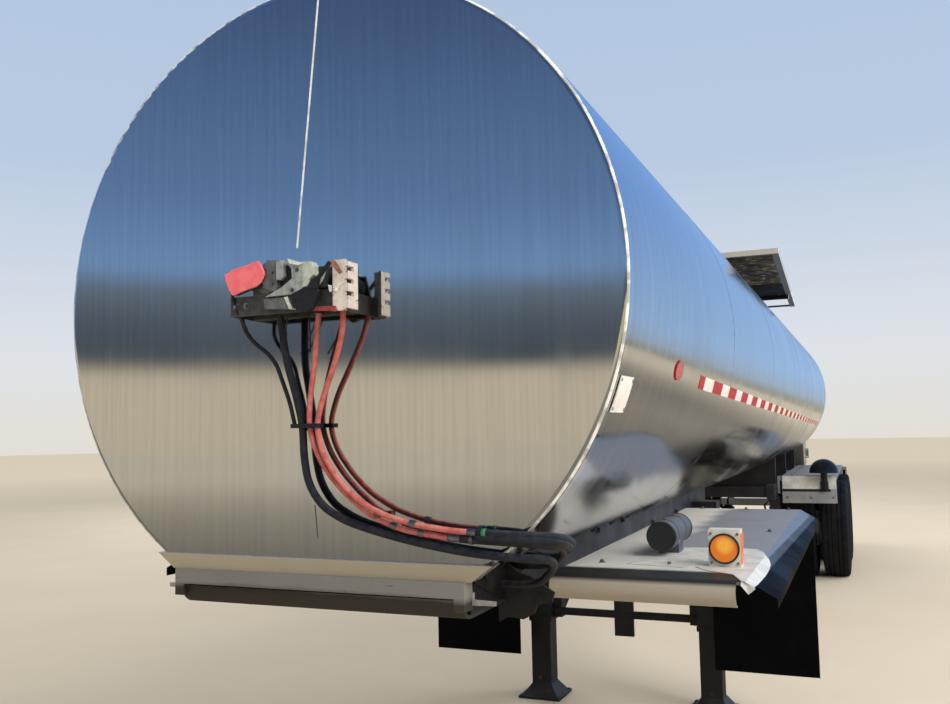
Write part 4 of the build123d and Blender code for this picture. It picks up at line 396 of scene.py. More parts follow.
# Barrel tape: red and white reflective strips on both sides, a little below the middle. It is a
# glass-beaded film on a sticky back, pressed on by hand, and drops slowly towards the rear.


def weathered(name, base, second, rough=(0.4, 0.6), metal=0.0, patch=120, grain=3, depth=0.3,
              stretch=(1, 1, 1), edge=None, rust=None, rust_share=0.6, dust=None, dust_share=0.5):
    """A surface that has stood outdoors. Patch and grain are the widths in millimetres of its
    cloudy patches and of its grain, and depth is the grain's depth. The patches mix two colours
    and two values of roughness. Edge, rust and dust are the colours of rubbed edges, of spots
    and of what lies on top. Real grain is finer, and is drawn 1 to 4 mm wide so that it shows."""
    edge_mm = 3
    spot_share = 0.45
    made, tree, shader, place = material(name, metal)
    broad = add(tree, "Mapping", Vector=place, Scale=per_metre(patch, stretch))
    patches = add(tree, "TexNoise", Vector=broad, Scale=1.0, Detail=5.0)
    fine = add(tree, "Mapping", Vector=place, Scale=per_metre(grain, stretch))
    grains = add(tree, "TexNoise", Vector=fine, Scale=1.0, Detail=3.0)
    share = add(tree, "MapRange", Value=patches, From_Min=0.35, From_Max=0.65)
    tone = add(tree, "Mix", 2, data_type="RGBA", I0=share, I6=base, I7=second)
    roughness = add(tree, "MapRange", Value=patches, From_Min=0.3, From_Max=0.7,
                    To_Min=rough[0], To_Max=rough[1])
    bent = add(tree, "Bump", Height=grains, Distance=depth / 1000, Strength=0.6)
    if rust:
        spots = add(tree, "TexNoise", Vector=place, Scale=1000 / (patch * spot_share), Detail=9.0)
        share = add(tree, "MapRange", Value=spots, From_Min=rust_share, From_Max=rust_share + 0.12)
        tone = add(tree, "Mix", 2, data_type="RGBA", I0=share, I6=tone, I7=rust)
        rusty = add(tree, "Math", operation="MULTIPLY", I0=share, I1=0.85)
        roughness = add(tree, "Math", operation="MAXIMUM", I0=roughness, I1=rusty)
        bent = add(tree, "Bump", Height=spots, Distance=0.0004, Strength=0.5, Normal=bent)
    if edge:
        rounded = add(tree, "Bevel", samples=4, Radius=edge_mm / 1000)
        sharp = add(tree, "VectorMath", "Value", operation="DOT_PRODUCT", I0=rounded,
                    I1=add(tree, "NewGeometry", "Normal"))
        worn = add(tree, "MapRange", Value=sharp, From_Min=0.99, From_Max=0.85)
        chipped = add(tree, "MapRange", Value=grains, From_Min=0.3, From_Max=0.6)
        share = add(tree, "Math", operation="MULTIPLY", I0=worn, I1=chipped)
        tone = add(tree, "Mix", 2, data_type="RGBA", I0=share, I6=tone, I7=edge)
    if dust:
        up = add(tree, "SeparateXYZ", 2, Vector=add(tree, "NewGeometry", "Normal"))
        level = add(tree, "MapRange", Value=up, From_Min=0.2, From_Max=0.9, To_Max=dust_share)
        lies = add(tree, "MapRange", Value=patches, From_Min=0.3, From_Max=0.7)
        share = add(tree, "Math", operation="MULTIPLY", I0=level, I1=lies)
        tone = add(tree, "Mix", 2, data_type="RGBA", I0=share, I6=tone, I7=dust)
        roughness = add(tree, "Math", operation="MAXIMUM", I0=roughness, I1=share)
    feed(tree, shader, Base_Color=tone, Roughness=roughness, Normal=bent)
    return made


def barrel_patch(mesh, stations, angles, lift, look=0, steps=4, side=1, thick=0.0006, fall=0.0):
    """Thin curved patch on the barrel, between stations and between two angles from the horizontal.
    It may fall towards the rear, in degrees a metre."""
    rows = []
    for r in (radius + lift, radius + lift + thick):
        grid = []
        for n in range(steps + 1):
            grid.append([])
            for s in stations:
                angle = angles[0] + (angles[1] - angles[0]) * n / steps - fall * (s - stations[0])
                turn = math.radians(angle)
                spot = at(s, side * r * math.cos(turn), axis_z + r * math.sin(turn))
                grid[-1].append(mesh.verts.new(spot))
        rows.append(grid)
    low, high = rows
    last = len(stations) - 1
    faces = []
    for n in range(steps):
        for k in range(last):
            faces.append((high[n][k], high[n][k + 1], high[n + 1][k + 1], high[n + 1][k]))
            faces.append((low[n][k], low[n + 1][k], low[n + 1][k + 1], low[n][k + 1]))
        for k in (0, last):
            faces.append((low[n][k], high[n][k], high[n + 1][k], low[n + 1][k]))
    for n in (0, steps):
        for k in range(last):
            faces.append((low[n][k], low[n][k + 1], high[n][k + 1], high[n][k]))
    for corners in faces:
        mesh.faces.new(corners).material_index = look


# Reflective film, red and white: flat strong colour with a dull shine.
tape_red = weathered("red_reflective_tape", "#a3161c", "#b3262a", (0.4, 0.55), 0.0, 60, 3, 0.03)
tape_white = weathered("white_reflective_tape", "#ece6e0", "#d9d3cb", (0.25, 0.4), 0.0, 60, 3, 0.03)
tape = bmesh.new()
tape_start = 1.19
tape_end = 11.45
red_length = 0.25
white_length = 0.22
first_length = 0.11
tape_width = 3.1  # degrees, which is 50 mm round the barrel
fall = 1.2  # degrees a metre
for side in (-1, 1):
    s = tape_start
    n = 0
    while s < tape_end - 0.05:
        length = (red_length if n % 2 == 0 else white_length) if n else first_length
        low = -16.9 - fall * (s - 1.23)
        stations = (s, min(s + length, tape_end))
        barrel_patch(tape, stations, (low, low + tape_width), 0.0004, n % 2, 3, side, 0.0006, fall)
        s += length
        n += 1
piece("barrel_tape", tape, [tape_red, tape_white])


# Side plates and reflectors: on each side a blank white plate is riveted on just behind the front
# head, and an oval red reflector of moulded acrylic is stuck on behind the plate.


def turned(mesh, start, axis, profile, look=0, sides=24, smooth=True, begin=0.0):
    """Turned form: pairs of distance along the axis and radius, closed with flat ends."""
    start = Vector(start)
    turn = Vector(axis).normalized().to_track_quat("Z", "Y")
    loops = []
    for along, r in profile:
        ring = []
        for n in range(sides):
            angle = begin + 2 * math.pi * n / sides
            edge = Vector((r * math.cos(angle), r * math.sin(angle), along))
            ring.append(mesh.verts.new(start + turn @ edge))
        loops.append(ring)
    for a, b in zip(loops, loops[1:]):
        for n in range(sides):
            m = (n + 1) % sides
            face = mesh.faces.new((a[n], a[m], b[m], b[n]))
            face.smooth = smooth
            face.material_index = look
    for ring in (loops[0], loops[-1]):
        mesh.faces.new(ring).material_index = look


def lens_acrylic(name, code, deep, pitch_mm, middle=None):
    """Moulded see-through lens with cells a pitch in millimetres apart. It is deeper in the cells' edges
    and, round a middle of y and height, towards the rim, which leaves the middle paler as a painted
    highlight. It also glows faintly, a painted glow, though it is no lamp."""
    made, tree, shader, place = material(name, rough=0.2)
    cells = add(tree, "TexVoronoi", "Distance", Vector=place, Scale=1000 / pitch_mm)
    share = add(tree, "MapRange", Value=cells, From_Min=0.1, From_Max=0.7, To_Max=0.6)
    if middle:
        # Paler round the middle and deeper towards the rim: a painted highlight.
        mirrored = add(tree, "VectorMath", operation="ABSOLUTE", I0=place)
        outward = add(tree, "VectorMath", operation="MULTIPLY", I0=mirrored, I1=(0, 1, 1))
        reach = add(tree, "VectorMath", "Value", operation="DISTANCE", I0=outward, I1=(0, *middle))
        away_from_highlight = add(tree, "MapRange", Value=reach, From_Min=0.008, From_Max=0.034)
        share = add(tree, "Math", operation="MAXIMUM", I0=share, I1=away_from_highlight)
    tone = add(tree, "Mix", 2, data_type="RGBA", I0=share, I6=code, I7=deep)
    feed(tree, shader, Base_Color=tone,
         Normal=add(tree, "Bump", Height=cells, Distance=0.0008, Strength=0.5))
    shader.inputs["Coat Weight"].default_value = 0.3
    shader.inputs["Coat Roughness"].default_value = 0.05
    shader.inputs["Subsurface Weight"].default_value = 0.2
    # A faint painted glow, though the lens is no lit lamp.
    shader.inputs["Emission Color"].default_value = linear(code)
    shader.inputs["Emission Strength"].default_value = 0.12
    return made


# Brushed stainless: fine scratches blur what it mirrors into a pale grey.
stainless = weathered("brushed_stainless", "#b4b4b1", "#c6c6c3", (0.28, 0.42), 0.85, 60, 1.2, 0.05)
# Red acrylic: deep red with small moulded cells that catch the light, and a faint painted glow.
red_acrylic = lens_acrylic("red_acrylic", "#b01a16", "#7c1214", 4)

reflector_station = 0.76
reflector_reach = 0.06
plates = bmesh.new()
for side in (-1, 1):
    barrel_patch(plates, (0.035, 0.165), (-23, -17), 0.002, 0, 4, side, 0.003)
    for s in (0.043, 0.157):
        for angle in (-22.4, -17.6):
            turn = math.radians(angle)
            out = Vector((0, side * math.cos(turn), math.sin(turn)))
            spot = at(s, 0, axis_z) + out * (radius + 0.002)
            turned(plates, spot, out, [(0, 0.005), (0.0045, 0.0045), (0.0055, 0.002)], 1, 8)
    rows = 10
    for n in range(rows):
        low, high = [-1 + 2 * k / rows for k in (n, n + 1)]
        reach = reflector_reach * math.sqrt(1 - ((low + high) / 2) ** 2)
        stations = (reflector_station - reach, reflector_station + reach)
        barrel_patch(plates, stations, (-14 + 2 * low, -14 + 2 * high), 0.001, 2, 1, side, 0.003)
piece("side_plate_and_reflector", plates, [tape_white, stainless, red_acrylic])


# Jacket bands: where the rolled courses overlap, a thin strap of the same polished stainless
# closes each joint and is drawn tight. Its edge catches the light as a faint ring.
band_width = 0.030
band_stations = (1.98, 3.86, 5.74, 7.62, 9.50, 11.38)
bands = bmesh.new()
for s in band_stations:
    gap = 10 if 7.5 < s < 7.7 else 1  # degrees, wider behind the manway
    for low, high in ((-89, 90 - gap), (90 + gap, 269)):
        barrel_patch(bands, (s, s + band_width), (low, high), -0.0002, 0, 48, 1, 0.0009)
piece("jacket_bands", bands, jacket)


# Work platform: a welded frame of aluminium channel with open slats, on legs round the manway.
# Its side beams run on behind the deck as rails.

# Weathered aluminium: dull above, lighter on its outer faces as a painted highlight, and darker below and
# inside as painted shade, with a black painted shadow on the front of the rear cross beam.
frame_look, tree, shader, place = material("platform_frame_painted_light", metal=0.3)
patches = add(tree, "TexNoise", Vector=place, Scale=1000 / 90, Detail=5.0)
grains = add(tree, "TexNoise", Vector=place, Scale=1000 / 2, Detail=3.0)
normal = add(tree, "NewGeometry", "Normal")
tone = add(tree, "Mix", 2, data_type="RGBA", I0=patches, I6="#b5ada0", I7="#cbc2b2")
# Outer faces lighter: painted highlight.
hand = add(tree, "Math", operation="SIGN", I0=add(tree, "SeparateXYZ", 1, Vector=place))
outward = add(tree, "Math", operation="MULTIPLY", I0=hand, I1=add(tree, "SeparateXYZ", 1, Vector=normal))
lit_outer_faces = add(tree, "MapRange", Value=outward, From_Min=0.6, From_Max=0.9)
tone = add(tree, "Mix", 2, data_type="RGBA", I0=lit_outer_faces, I6=tone, I7="#dfe3e6")
# Faces below and inside darker: painted shade.
shaded_below = add(tree, "MapRange", Value=add(tree, "SeparateXYZ", 2, Vector=normal),
            From_Min=-0.5, From_Max=-0.8)
shaded_inside = add(tree, "MapRange", Value=outward, From_Min=-0.6, From_Max=-0.9)
dark = add(tree, "Math", operation="MAXIMUM", I0=shaded_below, I1=shaded_inside)
tone = add(tree, "Mix", 2, data_type="RGBA", I0=dark, I6=tone, I7="#7d8488")
# Front face of the rear cross beam black: painted shadow.
facing = add(tree, "MapRange", Value=add(tree, "SeparateXYZ", 0, Vector=normal), From_Min=0.5, From_Max=0.8)
beam_station = 8.5
back = add(tree, "SeparateXYZ", 0, Vector=place)
rearmost = add(tree, "MapRange", Value=back, From_Min=head_x - beam_station,
               From_Max=head_x - beam_station - 0.02)
painted_shadow = add(tree, "Math", operation="MULTIPLY", I0=facing, I1=rearmost)
tone = add(tree, "Mix", 2, data_type="RGBA", I0=painted_shadow, I6=tone, I7="#0d0d0e")
feed(tree, shader, Base_Color=tone,
     Roughness=add(tree, "MapRange", Value=patches, From_Min=0.3, From_Max=0.7, To_Min=0.45, To_Max=0.65),
     Normal=add(tree, "Bump", Height=grains, Distance=0.0002, Strength=0.5))
dress(frame_look, "work_platform")


# Platform deck: thin sheet bolted under the slats, open round the manway, and small bolts along the beams.
# It is near black below, and solid black towards the rear.


def hex_bolt(mesh, place, axis, size, look=0):
    """Washer and hexagon head, a size across in metres."""
    turned(mesh, place, axis, [(0, size * 0.95), (size * 0.14, size * 0.95)], look, 16)
    turned(mesh, place, axis,
           [(size * 0.14, size * 0.56), (size * 0.7, size * 0.56), (size * 0.78, size * 0.48)],
           look, 6, False)


# Dull zinc steel: grey fastenings, lightly rusted.
zinc_steel = weathered("dull_zinc_steel", "#a9a8a3", "#8f8d87", (0.3, 0.5), 1.0, 12, 0.8,
                       0.1, rust="#6e4a30", rust_share=0.62)
deck_z = 3.1262
deck = bmesh.new()
for outline in (
    ((5.888, 0.778), (5.888, -0.778), (6.897, -0.742), (6.897, 0.742)),
    ((7.586, 0.718), (7.586, -0.718), (8.542, -0.684), (8.542, 0.684)),
    ((6.897, 0.742), (6.897, 0.305), (7.586, 0.305), (7.586, 0.718)),
    ((6.897, -0.742), (6.897, -0.305), (7.586, -0.305), (7.586, -0.718)),
):
    sheet_plate(deck, [at(s, y, deck_z) for s, y in outline], 0.003, 2 if outline[0][0] > 7 else 0)
for s in (5.99, 6.65, 7.75, 8.44):
    for y in (-0.62, -0.31, 0.0, 0.31, 0.62):
        hex_bolt(deck, at(s, y, deck_z - 0.0014), (0, 0, -1), 0.013, 0)
for n in range(14):
    for y in (0.02, -0.02):
        s = 5.95 + 0.19 * n
        side_y = 0.8345 - (s - 5.83) / 3.88 * 0.135  # the beams draw in towards the rear
        for side in (-1, 1):
            hex_bolt(deck, at(s, side * (side_y + 0.0005), 3.151 + y * 0.4), (0, side, 0), 0.007, 1)
# Dark sheet: near black with pale patches.
dark_deck_sheet = weathered("dark_mottled_deck_sheet", "#24221f", "#6a6458", (0.6, 0.85), 0.2, 170, 4,
                        1.0, rust="#b5ad9c", rust_share=0.54, dust="#8f8a7c", dust_share=0.5)
# Black sheet: towards the rear it is solid black.
black_sheet = weathered("black_rear_deck_sheet", "#0f0f0f", "#1d1c1a", (0.6, 0.85), 0.2, 170, 4,
                        1.0, dust="#8f8a7c", dust_share=0.5)
piece("platform_deck_sheet", deck, [dark_deck_sheet, zinc_steel, black_sheet])


# Manway: a stainless collar welded into the barrel, with a pressed lid. A black rubber ring seals
# it, and five swing bolts with wing nuts hold the lid down.
dress(stainless, "manway_collar", "manway_lid")
# Seal rubber: matt black, grey where dust lies on it.
seal_rubber = weathered("black_seal_rubber", "#17171a", "#222226", (0.5, 0.7), 0.0, 15, 1,
                        0.1, dust="#6f695e")
manway_station = 7.2
seal_reach = 0.2598
seal_z = 3.1916
gasket = bmesh.new()
ring = []
for n in range(64):
    turn = 2 * math.pi * n / 64
    ring.append(at(manway_station + seal_reach * math.cos(turn), seal_reach * math.sin(turn), seal_z))
tube(gasket, ring, 0.0031, 0, 10, True)
for angle in (0, 60, 120, 240, 300):
    turn = math.radians(angle)
    out = Vector((math.cos(turn), math.sin(turn), 0))
    across = Vector((-math.sin(turn), math.cos(turn), 0))
    spot = at(manway_station, 0, 3.099) + out * 0.272
    for side in (-1, 1):
        sheet_plate(gasket, [spot + across * side * 0.011 + Vector((0, 0, 0.003)),
                             spot + across * side * 0.034 + Vector((0, 0, -0.004)),
                             spot + across * side * 0.037 + Vector((0, 0, 0.006)),
                             spot + across * side * 0.011 + Vector((0, 0, 0.016))], 0.006, 1)
    turned(gasket, spot, (0, 0, 1),
           [(-0.0035, 0.0105), (0.0, 0.0135), (0.0185, 0.0135), (0.021, 0.010)], 1, 14)
piece("manway_gasket_and_wing_nuts", gasket, [seal_rubber, zinc_steel])


# Lid fittings: a bent stainless grip and the small bolts of the lid's ring, which move with the lid.
grip = bmesh.new()
x, y, z = at(manway_station - 0.225, 0, 3.2105)
for side in (-1, 1):
    turned(grip, (x, side * 0.055, z - 0.001), (0, 0, 1),
           [(0, 0.011), (0.003, 0.011), (0.004, 0.009)], 0, 14)
tube(grip, [(x, -0.055, z), (x, -0.055, z + 0.022), (x, -0.047, z + 0.030),
            (x, 0.047, z + 0.030), (x, 0.055, z + 0.022), (x, 0.055, z)], 0.0052, 0, 10)
for n in range(12):
    turn = 2 * math.pi * (n + 0.5) / 12
    spot = at(manway_station + 0.238 * math.cos(turn), 0.238 * math.sin(turn), 3.2093)
    hex_bolt(grip, spot, (0, 0, 1), 0.009, 0)
piece("manway_lid_grip", grip, stainless, body="manway_lid")


# Ladder: aluminium tube, bent, welded and fixed to the barrel's side on round pads. Its treads are
# folded plates with raised studs, and plastic caps close the tubes below.


def block_at(mesh, stations, y, z, look=0):
    """Box between two stations, two y values and two heights."""
    corners = [at(s, b, c) for s in stations for b in y for c in z]
    verts = [mesh.verts.new(p) for p in corners]
    for face in ((0, 1, 3, 2), (4, 6, 7, 5), (0, 4, 5, 1), (2, 3, 7, 6), (0, 2, 6, 4), (1, 5, 7, 3)):
        mesh.faces.new([verts[n] for n in face]).material_index = look


# Weathered aluminium: pale warm grey, chalky, with brown stains and dust on top.
deck_aluminium = weathered("weathered_aluminium", "#b5ada0", "#cbc2b2", (0.5, 0.7), 0.35, 90, 2, 0.2,
                           rust="#8c7f6c", rust_share=0.56, dust="#8f8a7c", dust_share=0.7)
dress(deck_aluminium, "side_ladder")
# Moulded plastic: black with a low shine, and dusty on top.
black_plastic = weathered("black_moulded_plastic", "#1d1e20", "#26272a", (0.35, 0.5), 0.0, 50, 0.8, 0.05,
                          dust="#5d5a54", dust_share=0.5)
ladder_y = -1.060
ladder_half = 0.21
rise = 0.3
tread_ends = (manway_station - ladder_half + 0.02, manway_station + ladder_half - 0.02)
treads = bmesh.new()
for n in range(7):
    z = 0.970 + rise * n
    y = ladder_y + 0.3515 * max(0.0, z - 2.450)  # the upper treads lean in with the barrel
    block_at(treads, tread_ends, (y - 0.019, y + 0.019), (z + 0.0125, z + 0.0155))
    for side in (-1, 1):
        block_at(treads, tread_ends, sorted((y + side * 0.019, y + side * 0.0165)), (z + 0.004, z + 0.0155))
        for k in range(15):
            spot = at(tread_ends[0] + 0.022 + 0.024 * k, y + side * 0.008, z + 0.0155)
            turned(treads, spot, (0, 0, 1), [(0, 0.0045), (0.0025, 0.003)], 0, 8)
for s in (manway_station - ladder_half, manway_station + ladder_half):
    turned(treads, at(s, ladder_y, 0.8201), (0, 0, 1),
           [(0, 0.0202), (0.030, 0.0202), (0.032, 0.0195)], 1, 20)
    for z in (1.605, 2.355):
        turned(treads, at(s, -0.934, z), (0, -1, 0), [(0, 0.032), (0.004, 0.032), (0.006, 0.030)], 0, 20)
piece("ladder_treads", treads, [deck_aluminium, black_plastic])


# Upper coupler: a welded steel frame under the barrel's front, painted black. Its bottom plate
# turns up at the nose, and a polished apron of stainless is folded over it.

# Chassis paint: black enamel, chipped to rust on the edges and dusty on top.
chassis_black = weathered("chassis_black_paint", "#17171a", "#222124", (0.4, 0.6), 0.0, 160, 2, 0.15,
                          edge="#4a443e", rust="#4a2a18", rust_share=0.66, dust="#6b6152", dust_share=0.45)
dress(chassis_black, "coupler_frame")
# Polished apron sheet: warm grey, drawn out sideways by wiping, so it mirrors the ground in bands.
apron_sheet = weathered("polished_apron_sheet", "#b9ad98", "#cbc1ae", (0.2, 0.34), 0.6, 200,
                        2, 0.05, (1, 20, 1), dust="#9a9080", dust_share=0.4)
dress(apron_sheet, "coupler_apron")
# Greased kingpin steel: dark and wet, with a streaky shine.
kingpin_steel = weathered("greased_kingpin_steel", "#5b554c", "#3a332a", (0.18, 0.4), 1.0, 30, 1, 0.1)
dress(kingpin_steel, "kingpin")
# Rubbed coupler plate: bare and pale where it faces up and forward, greasy black below.
nose_look, tree, shader, place = material("rubbed_coupler_plate", metal=0.3)
height = add(tree, "SeparateXYZ", 2, Vector=place)
drawn = add(tree, "Mapping", Vector=place, Scale=per_metre(130, (1, 3, 1)))
patches = add(tree, "TexNoise", Vector=drawn, Scale=1.0, Detail=6.0)
drawn = add(tree, "Mapping", Vector=place, Scale=per_metre(8, (1, 6, 1)))
scuffs = add(tree, "TexNoise", Vector=drawn, Scale=1.0, Detail=4.0)
level = add(tree, "Math", operation="MULTIPLY_ADD", I0=patches, I1=0.05, I2=height)
share = add(tree, "MapRange", Value=level, From_Min=1.276, From_Max=1.294)
dark = add(tree, "Mix", 2, data_type="RGBA", I0=patches, I6="#27231e", I7="#4b443a")
pale = add(tree, "Mix", 2, data_type="RGBA", I0=patches, I6="#76736e", I7="#908d86")
tone = add(tree, "Mix", 2, data_type="RGBA", I0=share, I6=dark, I7=pale)
rusty = add(tree, "MapRange", Value=scuffs, From_Min=0.66, From_Max=0.76, To_Max=0.5)
tone = add(tree, "Mix", 2, data_type="RGBA", I0=rusty, I6=tone, I7="#4a3423")
feed(tree, shader, Base_Color=tone,
     Roughness=add(tree, "MapRange", Value=patches, From_Min=0.3, From_Max=0.7, To_Min=0.4, To_Max=0.7),
     Normal=add(tree, "Bump", Height=scuffs, Distance=0.0004, Strength=0.5))
dress(nose_look, "coupler_plate")


# Coupler's welds and bolts: beads of weld join the apron's side to the frame, and bolts hold the
# frame's rails. All are of steel, some under the same black paint.

# Rusty spring steel: brown-black, matt and pitted, with rubbed edges.
spring_steel = weathered("rusty_spring_steel", "#201d1b", "#2f2721", (0.5, 0.75), 0.0, 60, 1.5, 0.3,
                         edge="#5b4a3c", rust="#5a3018", rust_share=0.55, dust="#6b6152", dust_share=0.4)
welds = bmesh.new()
for side in (-1, 1):
    for n in range(7):
        s = 0.10 + 0.28 * n
        tube(welds, [at(s, side * 0.4612, 1.3035), at(s + 0.10, side * 0.4612, 1.3035)],
             [0.0045, 0.0045], 0, 8)
    for s in (0.9, 1.3, 1.7, 2.3, 2.9, 3.5):
        hex_bolt(welds, at(s, side * 0.4602, 1.30 if s < 2.1 else 1.23), (0, side, 0), 0.018, 1)
piece("coupler_welds_and_bolts", welds, [spring_steel, chassis_black])


# Shaded corner: black ragged plates hang off the coupler frame's sides at the front, as painted shade where
# the frame's side lies in shadow, with a pale bent strap. They are bolted to the rail.
corner = bmesh.new()
for side in (-1, 1):
    sheet_plate(corner, [at(0.30, side * y, z) for y, z in (
        (0.440, 1.306), (0.473, 1.310), (0.505, 1.286), (0.540, 1.276), (0.612, 1.234),
        (0.603, 1.205), (0.560, 1.196), (0.548, 1.170), (0.517, 1.153), (0.470, 1.158), (0.440, 1.142))],
                0.010, 0)
    sheet_plate(corner, [at(s, side * 0.4635, z) for s, z in (
        (0.06, 1.320), (0.16, 1.347), (0.34, 1.344), (0.69, 1.347), (0.69, 1.230),
        (0.60, 1.203), (0.30, 1.212), (0.22, 1.230), (0.06, 1.290))], 0.005, 0)
    sheet_plate(corner, [at(0.03, side * y, z) for y, z in (
        (0.441, 1.268), (0.459, 1.269), (0.462, 1.254), (0.539, 1.252), (0.539, 1.240), (0.451, 1.237))],
                0.006, 1)
    block_at(corner, (0.026, 0.060), sorted((side * 0.4605, side * 0.466)), (1.238, 1.268), 1)
    for s, z in ((0.12, 1.300), (0.26, 1.320), (0.42, 1.280), (0.58, 1.300)):
        hex_bolt(corner, at(s, side * 0.466, z), (0, side, 0), 0.014, 0)
    for y, z in ((0.515, 1.240), (0.570, 1.220)):
        hex_bolt(corner, at(0.295, side * y, z), (1, 0, 0), 0.013, 0)
# Shade plate: black as painted shade, with thick soft lumps and a shine in places.
shade_plate_black = weathered("painted_shade_plate", "#151413", "#211e1b", (0.3, 0.65), 0.1, 50, 3,
                         1.2, dust="#4a443b")
# Pale strap: bare grey steel with a dull shine.
bent_strap = weathered("pale_bent_strap", "#a8a49c", "#8a867e", (0.4, 0.6), 0.2, 20, 1, 0.2)
piece("painted_shade_corner_plates", corner, [shade_plate_black, bent_strap], bevel=0.002)


# Service bracket: a cast tray on the head that carries two air couplings, a round socket for the
# lights, and a painted board with a notched plate beside it. All are bolted to the head's back plate.

# Weathered casting: dark grey, grainy, with rubbed pale edges.
bracket_cast = weathered("weathered_cast_bracket", "#474644", "#5c5a56", (0.45, 0.65), 0.5, 25, 1.2, 0.3,
                         edge="#8c8a84", dust="#7c766b", dust_share=0.6)
dress(bracket_cast, "service_bracket")
# Cast aluminium coupling: mid grey and soft to the eye, with bright rubbed edges.
coupling_cast = weathered("cast_coupling", "#8d8d88", "#a9a8a2", (0.35, 0.55), 0.8, 18, 1,
                          0.25, edge="#c4c3bd", dust="#7c766b", dust_share=0.4)
dress(coupling_cast, "gladhands")
dress(black_plastic, "trailer_socket")
# Painted board: cream white, chipped to brown at the edges.
board_paint = weathered("chipped_white_board", "#d9cfc4", "#c9bcae", (0.45, 0.6), 0.0, 25, 1, 0.2,
                        edge="#5d3a28", rust="#5d3a28", rust_share=0.6)
dress(board_paint, "side_boards")


# Service detail: castings, springs and covers of the couplings, a brown rubber strip, a dark red
# tag, loose wires, and the bolts of the tray. They are cast, pressed or moulded and bolted on.
tray_low, tray_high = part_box("service_bracket")
castings = (  # outline of y and height, distance in front of the head, thickness, finish
    (((-0.084, 2.174), (-0.068, 2.187), (-0.038, 2.184), (-0.034, 2.111), (-0.040, 2.094),
      (-0.084, 2.110)), 0.116, 0.022, 1),
    (((-0.034, 2.180), (-0.011, 2.181), (-0.008, 2.137), (-0.020, 2.126), (-0.033, 2.128)), 0.124, 0.02, 2),
    (((-0.015, 2.173), (0.008, 2.156), (0.009, 2.130), (-0.021, 2.110)), 0.114, 0.012, 0),
    (((0.018, 2.153), (-0.001, 2.179), (0.055, 2.167), (0.056, 2.136), (0.053, 2.083), (-0.069, 2.082),
      (-0.014, 2.105), (0.020, 2.127)), 0.1245, 0.0235, 2),
    (((0.007, 2.183), (0.057, 2.166), (0.043, 2.161), (0.015, 2.168)), 0.133, 0.016, 4),
    (((0.049, 2.171), (0.079, 2.170), (0.088, 2.156), (0.087, 2.132), (0.073, 2.120), (0.070, 2.102),
      (0.050, 2.101)), 0.119, 0.03, 3),
    (((-0.078, 2.077), (-0.010, 2.078), (0.007, 2.043), (-0.076, 2.049)), 0.1215, 0.018, 1),
    (((-0.009, 2.077), (0.003, 2.079), (0.019, 2.043), (0.008, 2.043)), 0.123, 0.02, 4),
    (((0.014, 2.081), (0.062, 2.099), (0.087, 2.099), (0.108, 2.088), (0.086, 2.038), (0.056, 2.028),
      (0.025, 2.047)), 0.132, 0.014, 0),
    (((0.140, 2.165), (0.148, 2.159), (0.112, 2.120), (0.104, 2.092), (0.068, 2.094), (0.085, 2.117),
      (0.104, 2.125)), 0.138, 0.008, 0),
    (((0.147, 2.169), (0.160, 2.163), (0.181, 2.131), (0.171, 2.126), (0.144, 2.158)), 0.136, 0.004, 5),
    (((0.094, 2.136), (0.116, 2.142), (0.108, 2.119), (0.100, 2.100)), 0.118, 0.01, 3),
    (((0.131, 2.102), (0.155, 2.095), (0.155, 2.083), (0.136, 2.082)), 0.124, 0.012, 4),
    (((0.080, 2.046), (0.151, 2.043), (0.154, 2.029), (0.074, 2.035)), 0.1225, 0.006, 6),
)
bits = bmesh.new()
for outline, ahead, thick, look in castings:
    sheet_plate(bits, [at(-ahead, y, z) for y, z in outline], thick, look)
for z in (2.083, 2.089, 2.095):
    turned(bits, at(-0.1301, 0.1465, z), (1, 0, 0), [(0, 0.0022), (0.0012, 0.0022)], 0, 10)
for y, z in ((-0.052, 2.150), (-0.052, 2.118), (0.036, 2.150), (0.020, 2.094)):
    ahead = 0.1362 if y > 0 else 0.1272
    hex_bolt(bits, at(-ahead, y, z), (1, 0, 0), 0.007, 7)
for y in (-0.185, -0.15, -0.03, 0.06):
    hex_bolt(bits, at(-0.1121, y, 2.064), (1, 0, 0), 0.011, 7)
for y in (-0.17, -0.02, 0.12):
    hex_bolt(bits, at(-0.0205, y, 2.145), (1, 0, 0), 0.012, 7)
loose_wires = (  # station, y and height of three points of each
    ((-0.09, -0.048, 2.036), (-0.075, -0.062, 1.985), (-0.05, -0.076, 1.934)),
    ((-0.09, -0.025, 2.036), (-0.078, -0.040, 1.99), (-0.052, -0.054, 1.933)),
    ((-0.09, 0.045, 2.036), (-0.072, 0.036, 1.98), (-0.046, 0.020, 1.93)),
)
for wire in loose_wires:
    tube(bits, [at(*point) for point in wire], 0.0022, 0, 6)
# Sand castings in four greys, from a dark face to a white edge: painted shade and painted highlight on the
# facets of one casting, grainy, with brown spots where bare.
cast_painted_shade = weathered("cast_face_painted_shade", "#6d6f72", "#56585b", (0.45, 0.6), 0.2, 20, 1.2,
                         0.3, dust="#857d70")
cast_painted_lit_face = weathered("cast_face_painted_lit", "#a6aba8", "#868a88", (0.4, 0.6), 0.2, 18, 1.2,
                          0.3, rust="#6a5d4c", rust_share=0.66)
cast_painted_pale_face = weathered("cast_face_painted_pale", "#c3c9bb", "#a4aa9c", (0.45, 0.6), 0.1, 18, 1.2,
                          0.3, rust="#7a6c58", rust_share=0.64)
cast_painted_highlight = weathered("cast_edge_painted_highlight", "#dcdfd8", "#c2c5bd", (0.4, 0.55), 0.1, 12, 1, 0.2)
